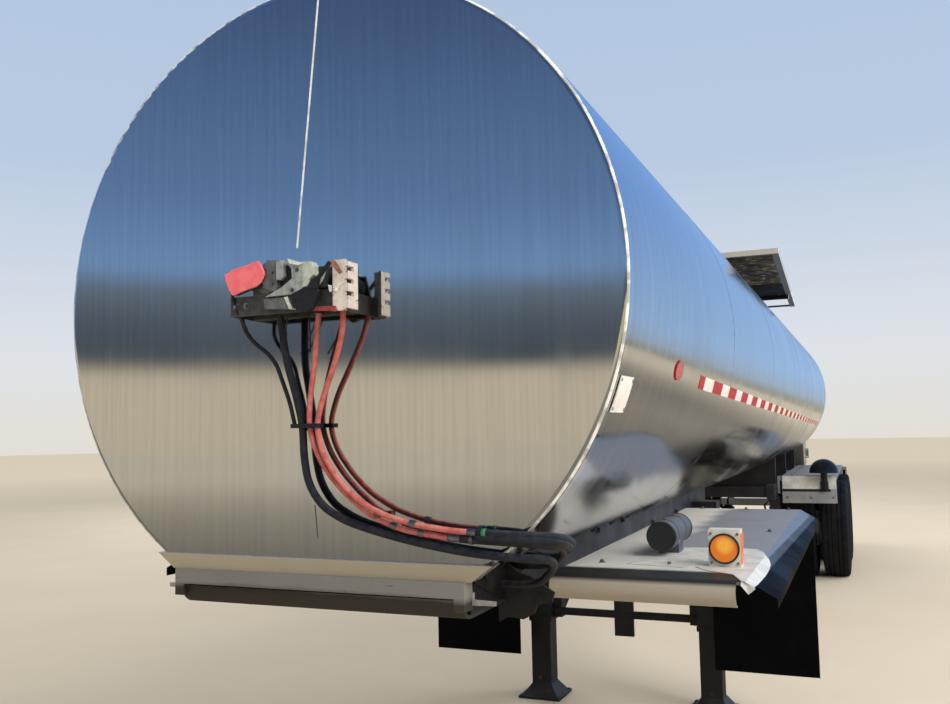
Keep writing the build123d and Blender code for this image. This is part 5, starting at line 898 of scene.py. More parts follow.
# Brown rubber strip and dark red tag: small spots of dull colour.
brown_strip = weathered("brown_rubber_strip", "#9c6a4e", "#7f5540", (0.5, 0.65), 0.0, 12, 1, 0.1)
red_tag = weathered("dark_red_tag", "#a13c40", "#7d3036", (0.4, 0.55), 0.0, 12, 1, 0.1)
detail_looks = [seal_rubber, cast_painted_shade, cast_painted_lit_face, cast_painted_pale_face, cast_painted_highlight, brown_strip,
                red_tag, zinc_steel]
piece("service_detail", bits, detail_looks, bevel=0.0016)


# Dust cover: the socket's red cap, a thick moulding with a raised rim behind its face. It hangs
# askew by a black cord that loops down behind the tray.

# Faded red plastic: pinkish from the sun, with pale edges.
cover_plastic = weathered("faded_red_cover", "#ee7478", "#e2626a", (0.4, 0.55), 0.0, 30, 1,
                          0.1, edge="#ec9a98")
cover = bmesh.new()
cover_outline = ((-0.203, 2.155), (-0.188, 2.159), (-0.174, 2.167), (-0.143, 2.173),
                 (-0.123, 2.176), (-0.106, 2.181), (-0.088, 2.184), (-0.080, 2.173), (-0.072, 2.157),
                 (-0.069, 2.147), (-0.074, 2.134), (-0.082, 2.122), (-0.095, 2.113), (-0.131, 2.105),
                 (-0.160, 2.097), (-0.175, 2.093), (-0.187, 2.109), (-0.197, 2.132))
sheet_plate(cover, [at(-0.1385, y, z) for y, z in cover_outline], 0.009, 0)
middle_y, middle_z = -0.136, 2.138
behind_face = []
for y, z in cover_outline:
    behind_face.append(at(-0.127, middle_y + 0.92 * (y - middle_y),
                          middle_z + 0.90 * (z - middle_z) - 0.003))
sheet_plate(cover, behind_face, 0.016, 1)
cord = ((-0.122, -0.172, 2.112), (-0.118, -0.194, 2.096), (-0.114, -0.188, 2.068), (-0.108, -0.179, 2.040),
        (-0.098, -0.160, 2.000))
tube(cover, [at(*point) for point in cord], 0.0048, 1, 10)
cover_piece = piece("hanging_dust_cap", cover, [cover_plastic, seal_rubber], bevel=0.003)
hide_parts("dust_cover")


# Air hoses and cables: red rubber air hoses with crimped ferrules, a black harness and a cable to
# the socket, held by a nylon tie. Past the bend a black spiral wrap bundles the two hoses.

# Red air hose: dull rubber, pale with dust on top.
hose_red = weathered("red_air_hose", "#a94c47", "#bd6c62", (0.35, 0.5), 0.0, 20, 1, 0.05, dust="#c9a08c",
                     dust_share=0.4)
dress(hose_red, "air_hose_long", "air_hose_short")
# Black cable jacket: bluish black with a soft shine.
cable_black = weathered("black_cable_jacket", "#14161c", "#20232b", (0.35, 0.5), 0.0, 20, 1,
                        0.05, dust="#54504a")
dress(cable_black, "black_harness", "socket_cable")
# Nylon tie: plain black.
tie_black = weathered("black_nylon_tie", "#121214", "#1c1c1f", (0.4, 0.55), 0.0, 10, 0.8, 0.05)
dress(tie_black, "harness_clips")


def line_points(route, share=0.45, steps=8):
    """Points along a line's route, its corners rounded as they are in the solid."""
    corners = [at(-out / 1000, y / 1000, tray_low.z - drop / 1000) for y, drop, out in route]
    points = [corners[0]]
    for a, b, c in zip(corners, corners[1:], corners[2:]):
        cut = share * min((b - a).length, (c - b).length)
        start = b + (a - b).normalized() * cut
        end = b + (c - b).normalized() * cut
        for n in range(steps + 1):
            t = n / steps
            points.append(start * (1 - t) ** 2 + b * 2 * t * (1 - t) + end * t ** 2)
    return points + [corners[-1]]


def stretch_of(points, start, end):
    """The part of a line between two lengths along it."""
    kept = []
    gone = 0.0
    for a, b in zip(points, points[1:]):
        step = (b - a).length
        for here in (start, end):
            if gone <= here < gone + step:
                kept.append(a.lerp(b, (here - gone) / step))
        if start < gone + step < end:
            kept.append(b)
        gone += step
    return kept


long_hose = line_points(((205, 562, 36), (300, 598, 34), (440, 616, 32), (600, 622, 30), (705, 634, -30),
                         (690, 664, -170), (600, 735, -330), (460.3, 735, -330)))
short_hose = line_points(((232, 550, 52), (330, 580, 48), (450, 596, 42), (610, 602, 36), (722, 612, -40),
                          (705, 650, -210), (600, 716, -400), (460.3, 716, -400)))
sleeves = bmesh.new()
tube(sleeves, stretch_of(long_hose, 0.27, 9), 0.0104, 0, 14)
tube(sleeves, stretch_of(short_hose, 0.29, 9), 0.0101, 0, 14)
beside = zip(stretch_of(long_hose, 0.30, 0.66), stretch_of(short_hose, 0.30, 0.66))
wrap = [a.lerp(b, 0.5) for a, b in beside]
tube(sleeves, wrap, [0.011] + [0.0150] * (len(wrap) - 2) + [0.011], 0, 14)
ferrules = (  # line, where the sleeve starts along it, its length, radius, finish
    (long_hose, 0.065, 0.018, 0.0105, 1),
    (long_hose, 0.15, 0.014, 0.0105, 1),
    (short_hose, 0.10, 0.018, 0.0105, 1),
    (short_hose, 0.265, 0.03, 0.0100, 1),
    (long_hose, 0.235, 0.045, 0.0100, 1),
    (short_hose, 0.305, 0.012, 0.0118, 2),
    (long_hose, 0.296, 0.010, 0.0125, 1),
)
for line, start, length, r, look in ferrules:
    run = stretch_of(line, start, start + length)
    radii = [r * 0.93] + [r] * (len(run) - 2) + [r * 0.93] if len(run) > 2 else r
    tube(sleeves, run, radii, look, 14)
block_at(sleeves, (-0.046, -0.018), (0.218, 0.236), (1.470, 1.482), 3)
# Green plug and rusty clip: one small spot of green, one of brown.
green_plug = weathered("green_hose_plug", "#3f7a52", "#35684a", (0.35, 0.5), 0.0, 10, 0.8, 0.05)
clip_brown = weathered("brown_rusty_clip", "#6b4632", "#82573c", (0.5, 0.7), 0.2, 10, 0.8, 0.2)
piece("line_sleeves_and_ferrules", sleeves, [cable_black, zinc_steel, green_plug, clip_brown])


# Front fenders: aluminium sheet over the towing vehicle's wheels, folded down outside and rolled
# at the front, on bars bolted to the frame.
fender_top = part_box("front_fenders")[1].z
# Chalked fender sheet: white towards the barrel and the front, and grey behind. The edge turned down is
# bluer, and near black without shine along the outer edge. The lip behind the nose is dark above as painted
# shade and beige below as a painted reflection of the ground.
worn_fender, tree, shader, place = material("chalked_fender_sheet", metal=0.25)
back = add(tree, "SeparateXYZ", 0, Vector=place)
across = add(tree, "Math", operation="ABSOLUTE", I0=add(tree, "SeparateXYZ", 1, Vector=place))
height = add(tree, "SeparateXYZ", 2, Vector=place)
clouds = add(tree, "TexNoise", Vector=place, Scale=1000 / 210, Detail=6.0)
grains = add(tree, "TexNoise", Vector=place, Scale=1000 / 2.5, Detail=3.0)
uneven = add(tree, "Math", operation="MULTIPLY_ADD", I0=clouds, I1=0.16, I2=-0.08)
behind_nose = add(tree, "Math", operation="SUBTRACT", I0=uneven, I1=back)
share = add(tree, "MapRange", Value=behind_nose, From_Min=1.08 - head_x, From_Max=1.22 - head_x)
outside = add(tree, "MapRange", Value=add(tree, "Math", I0=across, I1=uneven), From_Min=0.66, From_Max=0.74)
share = add(tree, "Math", operation="MULTIPLY", I0=share, I1=outside)
white = add(tree, "Mix", 2, data_type="RGBA", I0=clouds, I6="#e2ded5", I7="#cfcabf")
grey = add(tree, "Mix", 2, data_type="RGBA", I0=clouds, I6="#7c7e83", I7="#97989a")
tone = add(tree, "Mix", 2, data_type="RGBA", I0=share, I6=white, I7=grey)
upright = add(tree, "SeparateXYZ", 2, Vector=add(tree, "NewGeometry", "Normal"))
share = add(tree, "MapRange", Value=upright, From_Min=0.88, From_Max=0.97)
turned_down = add(tree, "Mix", 2, data_type="RGBA", I0=clouds, I6="#626a76", I7="#6e7888")
tone = add(tree, "Mix", 2, data_type="RGBA", I0=share, I6=turned_down, I7=tone)
widening = 0.0205  # metres a metre: the dark band along the outer edge is widest at the front
edge_reach = add(tree, "Math", operation="MULTIPLY_ADD", I0=back, I1=widening, I2=across)
clean = 1.0992 + widening * head_x
for start, end, edge_tone in ((clean - 0.027, clean - 0.022, "#3f464a"),
                          (clean - 0.002, clean + 0.002, "#0b0b0d")):
    share = add(tree, "MapRange", Value=edge_reach, From_Min=start, From_Max=end)
    tone = add(tree, "Mix", 2, data_type="RGBA", I0=share, I6=tone, I7=edge_tone)
# Lip behind the nose: painted shade above, under the overhanging sheet, and painted reflection of the
# ground below.
share = add(tree, "MapRange", Value=back, From_Min=head_x - 0.90, From_Max=head_x - 0.86)
inward = add(tree, "MapRange", Value=across, From_Min=1.10, From_Max=1.06)
share = add(tree, "Math", operation="MULTIPLY", I0=share, I1=inward)
upper_lip_shade = add(tree, "MapRange", Value=height, From_Min=1.200, From_Max=1.212)
lip_shade_and_reflection = add(tree, "Mix", 2, data_type="RGBA", I0=upper_lip_shade, I6="#aba191", I7="#2b2925")
tone = add(tree, "Mix", 2, data_type="RGBA", I0=share, I6=tone, I7=lip_shade_and_reflection)
feed(tree, shader, Base_Color=tone,
     Roughness=add(tree, "MapRange", Value=clouds, From_Min=0.3, From_Max=0.7, To_Min=0.42, To_Max=0.62),
     Normal=add(tree, "Bump", Height=grains, Distance=0.0001, Strength=0.5))
dulled = add(tree, "MapRange", Value=edge_reach, From_Min=clean - 0.027, From_Max=clean + 0.002, To_Min=0.5,
             To_Max=0.02)
feed(tree, shader, Specular_IOR_Level=dulled)
dress(worn_fender, "front_fenders")


# Torn sheet: a patch of white sheet laid over the fender's front corner, riveted, torn along its
# edge and bent down at the corner.
torn = bmesh.new()
for side in (-1, 1):
    sheet_plate(torn, [at(a, side * b, fender_top + 0.0014) for a, b in (
        (1.45, 0.70), (0.98, 0.655), (0.941, 0.858), (0.974, 0.892), (0.897, 0.945),
        (0.837, 1.036), (0.716, 1.076), (0.700, 1.090), (1.310, 1.090), (1.390, 1.076), (1.464, 1.047),
        (1.482, 1.001))], 0.0020)
    sheet_plate(torn, [at(a, side * b, fender_top + 0.0014 - 0.5774 * (b - 1.090)) for a, b in (
        (0.700, 1.090), (0.696, 1.116), (0.780, 1.120), (0.960, 1.124), (1.102, 1.123),
        (1.190, 1.118), (1.262, 1.108), (1.310, 1.090))], 0.0020)
    sheet_plate(torn, [at(a, side * b, fender_top + c) for a, b, c in (
        (0.706, 1.078, 0.0010), (0.690, 1.078, -0.008), (0.687, 1.100, -0.033), (0.687, 1.121, -0.016),
        (0.700, 1.116, -0.0136))], 0.0016)
# Torn white sheet: bright, with soft dirty streaks.
torn_sheet = weathered("torn_white_sheet", "#dedbd3", "#c6c3bb", (0.35, 0.5), 0.2, 60, 1.2, 0.1,
                       dust="#b5b0a5", dust_share=0.3)
piece("torn_fender_sheet", torn, torn_sheet)


# Fender lamps, canisters and bolts: amber lamps in pale boxes with black bezels and amber side
# lenses, dark canisters with end rings and straps, and the zinc bolts of the sheet and the flaps.

# Pale lamp housing: painted metal, off-white, worn dark at its edges.
lamp_paint = weathered("pale_lamp_housing", "#cfccc4", "#bdb8ad", (0.35, 0.5), 0.0, 40, 1,
                       0.1, edge="#8f8a80")
dress(lamp_paint, "lamp_housings")
# Amber acrylic: yellow in the middle as a painted highlight and orange at the rim, with a faint painted
# glow.
amber = lens_acrylic("amber_acrylic", "#ffc650", "#e0660c", 3,
                     (0.992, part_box("front_fenders")[1].z + 0.074))
dress(amber, "lamp_lenses")
# Canister paint: worn dark grey, with light rubbed edges.
canister_paint = weathered("worn_canister_paint", "#4a4d52", "#3b3d42", (0.4, 0.55), 0.0, 60, 1.2,
                           0.1, edge="#83848a", dust="#7c766b", dust_share=0.5)
dress(canister_paint, "fender_canisters")
lamp_front = head_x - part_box("lamp_housings")[1].x
extra = bmesh.new()
for side in (-1, 1):
    for station in (1.0, 2.1, 3.195):
        for y in (0.56, 0.80, 1.03):
            hex_bolt(extra, at(station, side * y, fender_top + 0.0002), (0, 0, 1), 0.013, 0)
    y, z = 0.990, fender_top + 0.063
    turned(extra, at(lamp_front - 0.0002, side * y, z), (1, 0, 0),
           [(0, 0.0512), (0.007, 0.0512), (0.009, 0.0500), (0.009, 0.0455), (0, 0.0455)], 1, 40)
    inner, outer = sorted((side * (y + 0.0532), side * (y + 0.0572)))
    block_at(extra, (lamp_front + 0.008, lamp_front + 0.054), (inner, outer),
             (fender_top + 0.012, fender_top + 0.114), 2)
    for dz in (0.014, 0.112):
        for dy in (-0.044, 0.044):
            hex_bolt(extra, at(lamp_front - 0.0003, side * (y + dy), fender_top + dz), (1, 0, 0), 0.005, 0)
    front = head_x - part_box("fender_canisters")[1].x
    rear = head_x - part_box("fender_canisters")[0].x
    y, z = side * 0.740, fender_top + 0.076
    for station, along in ((front, 1), (rear, -1)):
        turned(extra, at(station + along * 0.012, y, z), (along, 0, 0),
               [(0, 0.0555), (0.010, 0.0555), (0.013, 0.0535), (0.013, 0.046), (0.0125, 0.0455)], 1, 36)
    for station in (front + 0.09, rear - 0.09):
        turned(extra, at(station, y, z), (1, 0, 0), [(0, 0.0552), (0.018, 0.0552)], 0, 36)
        hex_bolt(extra, at(station - 0.009, y, z + 0.0552), (0, 0, 1), 0.008, 0)
    for y in (0.65, 0.80, 0.95, 1.08):
        for station, top in ((3.22, fender_top - 0.035), (10.88, 1.045)):
            hex_bolt(extra, at(station + 0.0102, side * y, top), (-1, 0, 0), 0.012, 0)
piece("fender_bolts_and_rims", extra, [zinc_steel, black_plastic, amber], bevel=0.0006)


# Mud flaps: sheets of black rubber, cut square, that hang on bolts behind the front and the rear
# fenders. They hang dead straight.

# Black flap sheet: black rubber, matt and nearly without shine, drawn darker than rubber as painted shade
# under the fenders.
flap_rubber_shaded = weathered("flap_sheet_painted_shade", "#030305", "#08080b", (0.8, 0.95), 0.0, 140, 1.5, 0.1,
                        dust="#4f4a42", dust_share=0.3)
flap_rubber_shaded.node_tree.nodes["Principled BSDF"].inputs["Specular IOR Level"].default_value = 0.15
dress(flap_rubber_shaded, "mud_flaps")


# Landing gear: two square telescopic steel legs with gearbox, crank, feet and braces, welded and
# bolted under the barrel. Fittings are cover bolts, grease plugs, collars, pins and the crank's grip.
dress(chassis_black, "landing_legs", "landing_feet", "landing_braces", "landing_crank")
gear_station = 3.5
collar_front = gear_station - 0.0735
collar_back = gear_station + 0.0735
collar_z = (0.472, 0.502)
gear = bmesh.new()
for side in (-1, 1):
    face = side * 0.6462
    for ds in (-0.048, 0.048):
        for z in (1.000, 1.085, 1.152):
            hex_bolt(gear, at(gear_station + ds, face, z), (0, side, 0), 0.011, 1)
    turned(gear, at(gear_station, face, 1.085), (0, side, 0),
           [(-0.001, 0.031), (0.006, 0.031), (0.009, 0.027)], 0, 24)
    turned(gear, at(gear_station - 0.028, face, 1.030), (0, side, 0),
           [(0, 0.009), (0.004, 0.009), (0.006, 0.007), (0.010, 0.003)], 1, 12)
    low, high = sorted((side * 0.4565, side * 0.6035))
    for s in ((collar_front, collar_front + 0.004), (collar_back - 0.004, collar_back)):
        block_at(gear, s, (low, high), collar_z, 0)
    for y in ((low, low + 0.004), (high - 0.004, high)):
        block_at(gear, (collar_front, collar_back), y, collar_z, 0)
    for y in (0.49, 0.57):
        hex_bolt(gear, at(collar_front - 0.0001, side * y, 0.487), (1, 0, 0), 0.010, 1)
    for ahead in (1, -1):
        hex_bolt(gear, at(gear_station - ahead * 0.0645, side * 0.53, 0.118), (ahead, 0, 0), 0.024, 1)
    for y in (0.41, 0.65):
        for ds in (-0.12, 0.12):
            turned(gear, at(gear_station + ds, side * y, 0.014), (0, 0, 1),
                   [(0, 0.008), (0.004, 0.008), (0.006, 0.005)], 1, 12)
    for n in range(5):
        hex_bolt(gear, at(gear_station - 0.0702, side * (0.475 + 0.11 * (n % 2)), 0.56 + 0.13 * n),
                 (1, 0, 0), 0.012, 0)
tube(gear, [at(gear_station, y, 0.815) for y in (0.792, 0.800, 0.870, 0.888)],
     [0.0125, 0.0150, 0.0150, 0.0125], 2, 14)
turned(gear, at(gear_station, 0.664, 1.075), (0, 1, 0), [(0, 0.0165), (0.030, 0.0165)], 0, 20)
turned(gear, at(gear_station - 0.0135, 0.679, 1.075), (-1, 0, 0), [(-0.004, 0.004), (0.031, 0.004)], 1, 10)
# Worn grip: grey-brown, rubbed by hands.
worn_grip = weathered("worn_grey_grip", "#57524a", "#6d675c", (0.4, 0.6), 0.1, 20, 1, 0.1)
piece("landing_gear_fittings", gear, [chassis_black, spring_steel, worn_grip], bevel=0.0008)


# Spring and axle hardware: U-bolts with nuts over each leaf pack, clips round the leaf ends, and
# slack adjusters and cam tubes by the brake chambers, all of forged or bent steel.
dress(chassis_black, "rear_subframe", "spring_hangers", "torque_rods", "axles",
      "brake_chambers", "air_tanks")
dress(spring_steel, "leaf_springs")
steelwork = bmesh.new()
axle_stations = (8.92, 10.165)
spring_y = 0.483
for station in axle_stations:
    for side in (-1, 1):
        y = side * spring_y
        for along in (-0.062, 0.062):
            s = station + along
            top = 0.6625
            bow = ((-0.049, 0.485), (-0.049, top - 0.008), (-0.040, top + 0.004), (0, top + 0.007),
                   (0.040, top + 0.004), (0.049, top - 0.008), (0.049, 0.485))
            tube(steelwork, [at(s, y + side * b, z) for b, z in bow], 0.0105, 0, 10)
            for b in (-0.049, 0.049):
                turned(steelwork, at(s, y + side * b, 0.503), (0, 0, -1),
                       [(0, 0.018), (0.018, 0.018), (0.021, 0.016)], 1, 6, False)
        block_at(steelwork, (station - 0.088, station + 0.088), (y - 0.066, y + 0.066), (0.4925, 0.5045), 0)
        block_at(steelwork, (station - 0.080, station + 0.080), (y - 0.036, y + 0.036), (0.661, 0.667), 0)
        for along in (-0.30, 0.30):
            s = station + along
            clip = (s - 0.014, s + 0.014)
            for b in (-0.0405, 0.0405):
                block_at(steelwork, clip, (y + side * b - 0.002, y + side * b + 0.002), (0.635, 0.685), 0)
            block_at(steelwork, clip, (y - 0.042, y + 0.042), (0.683, 0.687), 0)
        turned(steelwork, at(station, side * 0.34, 0.632), (0, side, 0), [(0, 0.017), (0.27, 0.017)], 2, 16)
        adjuster = ((-0.02, 0.645), (0.02, 0.645), (0.016, 0.52), (-0.016, 0.52))
        sheet_plate(steelwork, [at(station + ds, side * 0.345, z) for ds, z in adjuster], 0.018, 2)
        turned(steelwork, at(station, side * 0.332, 0.632), (0, side, 0),
               [(0, 0.030), (0.026, 0.030)], 2, 20)
piece("spring_and_brake_hardware", steelwork, [chassis_black, zinc_steel, spring_steel], bevel=0.001)


# Running gear fittings: pins with nuts in the hangers, clamp rings and air lines on the brake
# chambers, straps and drain cock on the air reservoir, bolts along the frame rails.
fittings = bmesh.new()
reservoir_station = 11.46
hanger_pins = (  # station, height, width of the nut
    (8.387, 0.655, 0.024), (9.5425, 0.800, 0.0336), (10.698, 0.655, 0.024),
    (8.40, 0.585, 0.0208), (9.5425, 0.64, 0.0208),
)
for side in (-1, 1):
    for station, z, size in hanger_pins:
        hex_bolt(fittings, at(station, side * 0.5372, z), (0, side, 0), size, 1)
    for n in range(9):
        s = 8.05 + 0.5 * n
        for z in (0.93, 1.02):
            hex_bolt(fittings, at(s, side * 0.5232, z), (0, side, 0), 0.016, 0)
    for station in axle_stations:
        s, y, z = station + 0.21, side * 0.30, 0.565
        turned(fittings, at(s + 0.012, y, z), (1, 0, 0),
               [(0, 0.0763), (0.003, 0.0815), (0.021, 0.0815), (0.024, 0.0763)], 1, 36)
        for turn in (0.5, 2.6):
            spot = at(s, y + 0.086 * math.cos(turn), z + 0.086 * math.sin(turn))
            block_at(fittings, (s - 0.010, s + 0.010), (spot.y - 0.008, spot.y + 0.008),
                     (spot.z - 0.008, spot.z + 0.008), 1)
        air_line = ((0, 0, 0.084), (0, 0, 0.13), (0.02, -0.01, 0.18), (0.08, 0.06, 0.24),
                    (0.12, 0.125, 0.31), (0.13, 0.138, 0.36))
        for k in (-0.045, 0.045):
            turned(fittings, at(s + k, y, z + 0.074), (0, 0, 1),
                   [(0, 0.009), (0.012, 0.009), (0.014, 0.007)], 3, 8, False)
            tube(fittings, [at(s + k + ds, y + side * dy, z + dz) for ds, dy, dz in air_line],
                 0.0065, 2, 10)
for y in (-0.20, 0.20):
    turned(fittings, at(reservoir_station, y - 0.0175, 0.975), (0, 1, 0),
           [(0, 0.1215), (0.035, 0.1215)], 1, 48)
turned(fittings, at(reservoir_station, 0.05, 0.856), (0, 0, -1),
       [(0, 0.016), (0.008, 0.016), (0.010, 0.009), (0.026, 0.009)], 3, 12)
for y in (-0.27, 0.12, 0.27):
    turned(fittings, at(reservoir_station, y, 1.0945), (0, 0, 1),
           [(0, 0.013), (0.012, 0.013), (0.014, 0.010)], 3, 8, False)
supply_line = ((11.46, 0.12, 1.10), (11.44, 0.12, 1.125), (11.36, 0.16, 1.13), (11.2, 0.30, 1.12),
               (10.9, 0.36, 1.11), (10.5, 0.38, 1.10))
tube(fittings, [at(*point) for point in supply_line], 0.0065, 2, 10)
# Dull brass: yellow-brown fittings on the air lines.
brass = weathered("dull_brass_fitting", "#a58a52", "#8a7243", (0.3, 0.45), 1.0, 10, 0.8, 0.05)
piece("running_gear_fittings", fittings, [chassis_black, zinc_steel, cable_black, brass], bevel=0.0006)


# Tyres: moulded black rubber on each rim, two side by side, one mesh for every pair. Five ribs
# with grooves about 13 mm deep, cut shoulders, and moulded rings on the side walls.

# Tyre rubber: black and matt, browner where dust lies.
tyre_rubber = weathered("dusty_tyre_rubber", "#0b0b0d", "#151416", (0.75, 0.9), 0.0, 90, 2,
                        0.1, dust="#2f2c28", dust_share=0.4)
pair_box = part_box("tyres_front_left")
tyre_radius = (pair_box[1].z - pair_box[0].z) / 2
# Half of the section, from the bead up the side wall to the shoulder: distance from the middle, radius.
half_section = [(0.097, 0.284), (0.1065, 0.292), (0.112, 0.306), (0.1165, 0.309),
                (0.119, 0.322), (0.1225, 0.325), (0.130, 0.352), (0.1365, 0.380), (0.1375, 0.384),
                (0.1390, 0.386), (0.1398, 0.409), (0.1385, 0.432), (0.1370, 0.434), (0.1362, 0.446),
                (0.1330, 0.462), (0.1345, 0.468), (0.1325, 0.486), (0.1275, 0.503), (0.1190, 0.5185),
                (0.1080, tyre_radius - 0.0004)]
grooves = [(0.078, 0.066), (0.034, 0.024)]
tread = []
for outer, inner in grooves:
    tread += [(outer, tyre_radius - 0.0002), (outer - 0.0015, tyre_radius - 0.013),
              (inner + 0.0015, tyre_radius - 0.013), (inner, tyre_radius - 0.0002)]
side_half = half_section + tread
section = side_half + [(-across, r) for across, r in reversed(side_half)]


def pair_of_tyres():
    """Two tyres side by side, their section carried round the axle, every fourth shoulder cut back."""
    mesh = bmesh.new()
    count = 168
    apart = 0.165
    for middle in (apart, -apart):
        loops = []
        for n in range(count):
            angle = 2 * math.pi * n / count
            ring = []
            for across, r in section:
                shoulder = 0.082 < abs(across) < 0.125 and r > 0.50
                if shoulder and n % 4 == 3:
                    r -= 0.008
                ring.append(mesh.verts.new((r * math.cos(angle), middle + across, r * math.sin(angle))))
            loops.append(ring)
        for n in range(count):
            a, b = loops[n], loops[(n + 1) % count]
            for k in range(len(section)):
                m = (k + 1) % len(section)
                face = mesh.faces.new((a[k], a[m], b[m], b[k]))
                face.smooth = not (0.502 < (section[k][1] + section[m][1]) / 2)
    bmesh.ops.recalc_face_normals(mesh, faces=mesh.faces)
    return mesh


tyre_data = bpy.data.meshes.new("ribbed_tyre_pair")
mesh = pair_of_tyres()
mesh.to_mesh(tyre_data)
mesh.free()
tyre_data.materials.append(tyre_rubber)
wheel_names = [(end, hand) for end in ("front", "rear") for hand in ("left", "right")]
for end, hand in wheel_names:
    node = "tyres_%s_%s" % (end, hand)
    low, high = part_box(node)
    made = bpy.data.objects.new("ribbed_" + node, tyre_data)
    scene.collection.objects.link(made)
    made.matrix_world = Matrix.Translation((low + high) / 2)
    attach(made, "wheel_%s_%s" % (end, hand))
    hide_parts(node)


# Wheel fastenings: ten nuts on studs round each hub, an oil-bath hub cap with its clear window and
# bolts, valve stems and balance clips, all screwed or pressed on and turning with the wheel.

# Dull polished wheel: pale cast aluminium with a soft shine, brown dust in its dish.
wheel_metal = weathered("dull_polished_wheel", "#b4b4b1", "#c2c2bf", (0.35, 0.5), 0.6, 40, 1.5, 0.05,
                        dust="#6f6a60", dust_share=0.4)
dress(wheel_metal, *[n for n in nodes if n.startswith("wheels_")])
nuts = bmesh.new()
for n in range(10):
    angle = 2 * math.pi * (n + 0.5) / 10
    spot = Vector((0.1425 * math.cos(angle), 0.0122, 0.1425 * math.sin(angle)))
    turned(nuts, spot, (0, 1, 0), [(0, 0.021), (0.004, 0.021)], 0, 14)
    turned(nuts, spot, (0, 1, 0), [(0.004, 0.0185), (0.024, 0.0185), (0.027, 0.0165)], 0, 6, False)
    turned(nuts, spot, (0, 1, 0), [(0.027, 0.0095), (0.040, 0.0095), (0.043, 0.0075)], 1, 10)
turned(nuts, (0, 0.1502, 0), (0, 1, 0), [(0, 0.1055), (0.010, 0.1055), (0.012, 0.1035)], 0, 40)
for n in range(6):
    angle = 2 * math.pi * n / 6
    hex_bolt(nuts, (0.097 * math.cos(angle), 0.1622, 0.097 * math.sin(angle)), (0, 1, 0), 0.011, 0)
turned(nuts, (0, 0.2002, 0), (0, 1, 0),
       [(0, 0.060), (0.003, 0.060), (0.005, 0.057), (0.005, 0.046), (0.0035, 0.044)], 1, 32)
turned(nuts, (0, 0.2003, 0), (0, 1, 0), [(0, 0.0435), (0.003, 0.0435), (0.0045, 0.038)], 2, 28)
turned(nuts, (0, 0.2045, 0), (0, 1, 0), [(0, 0.012), (0.004, 0.012), (0.005, 0.009)], 3, 14)
stem_turn = math.radians(36)
out = Vector((math.cos(stem_turn), 0, math.sin(stem_turn)))
stem = [out * reach + Vector((0, y, 0)) for reach, y in ((0.270, 0.178), (0.246, 0.200), (0.236, 0.226))]
tube(nuts, stem, [0.0055, 0.005, 0.0045], 1, 10)
turned(nuts, stem[-1], Vector((0, 1, 0)) - out * 0.25,
       [(0, 0.0058), (0.016, 0.0058), (0.018, 0.0045)], 3, 10)
clip_turn = math.radians(180)
out = Vector((math.cos(clip_turn), 0, math.sin(clip_turn)))
clip_place = out * 0.2745 + Vector((0, 0.262, 0))
turned(nuts, clip_place, out, [(-0.004, 0.012), (0.001, 0.012), (0.003, 0.009)], 1, 12)
bmesh.ops.recalc_face_normals(nuts, faces=nuts.faces)
# Smoky acrylic window: brown with the oil behind it, and a faint painted glow.
hub_glass = lens_acrylic("smoky_hub_window", "#6b5a3c", "#3c3222", 8)
hub_data = bpy.data.meshes.new("wheel_fastenings")
nuts.to_mesh(hub_data)
nuts.free()
for look in (zinc_steel, stainless, hub_glass, black_plastic):
    hub_data.materials.append(look)
for n, (end, hand) in enumerate(wheel_names):
    low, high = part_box("tyres_%s_%s" % (end, hand))
    made = bpy.data.objects.new("fastenings_%s_%s" % (end, hand), hub_data)
    scene.collection.objects.link(made)
    turn = Matrix.Rotation(math.pi if hand == "right" else 0.0, 4, "Z") @ Matrix.Rotation(0.5 * n, 4, "Y")
    made.matrix_world = Matrix.Translation((low + high) / 2) @ turn
    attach(made, "wheel_%s_%s" % (end, hand))


# Rear fenders: folded aluminium sheet over the wheels. The front skirt has a bright folded cap above a
# black strip of painted shade in the groove below it, bolts hold the sheet, and a domed black lamp stands
# at each front corner.

# Oxidised sheet: dull blue-grey, dusty on top.
fender_sheet = weathered("oxidised_fender_sheet", "#8f9195", "#a3a4a4", (0.38, 0.58), 0.45, 180, 2, 0.1,
                         dust="#96938b", dust_share=0.8)
dress(fender_sheet, "rear_fenders", "fender_supports")
# Dome plastic: black with a soft highlight.
dome_plastic = weathered("black_dome_plastic", "#09090c", "#101014", (0.3, 0.45), 0.0, 60, 0.8, 0.05)
dress(dome_plastic, "dome_lamps")
skirt_front = 8.2885
fender_back = 10.8802
caps = bmesh.new()
cap = ((0.575, 0.9900), (1.1165, 0.9900), (1.1165, 1.1275), (0.575, 1.1275))
groove_shade_strip = ((0.575, 0.962), (1.058, 0.962), (1.058, 0.990), (0.575, 0.990))
for side in (-1, 1):
    sheet_plate(caps, [at(skirt_front, side * y, z) for y, z in cap], 0.003, 0)
    # Thin black plate under the cap: painted shade in the groove.
    sheet_plate(caps, [at(skirt_front + 0.0005, side * y, z) for y, z in groove_shade_strip], 0.002, 1)
    for n in range(12):
        hex_bolt(caps, at(8.42 + 0.21 * n, side * 1.1202, 1.106), (0, side, 0), 0.011, 2)
    for y in (0.62, 0.86, 1.08):
        hex_bolt(caps, at(skirt_front - 0.0017, side * y, 0.90), (1, 0, 0), 0.012, 2)
        hex_bolt(caps, at(fender_back, side * y, 0.93), (-1, 0, 0), 0.012, 2)
    for s in (8.5, 8.9, 9.3, 9.7, 10.1, 10.5):
        hex_bolt(caps, at(s, side * 0.66, 1.1301), (0, 0, 1), 0.012, 2)
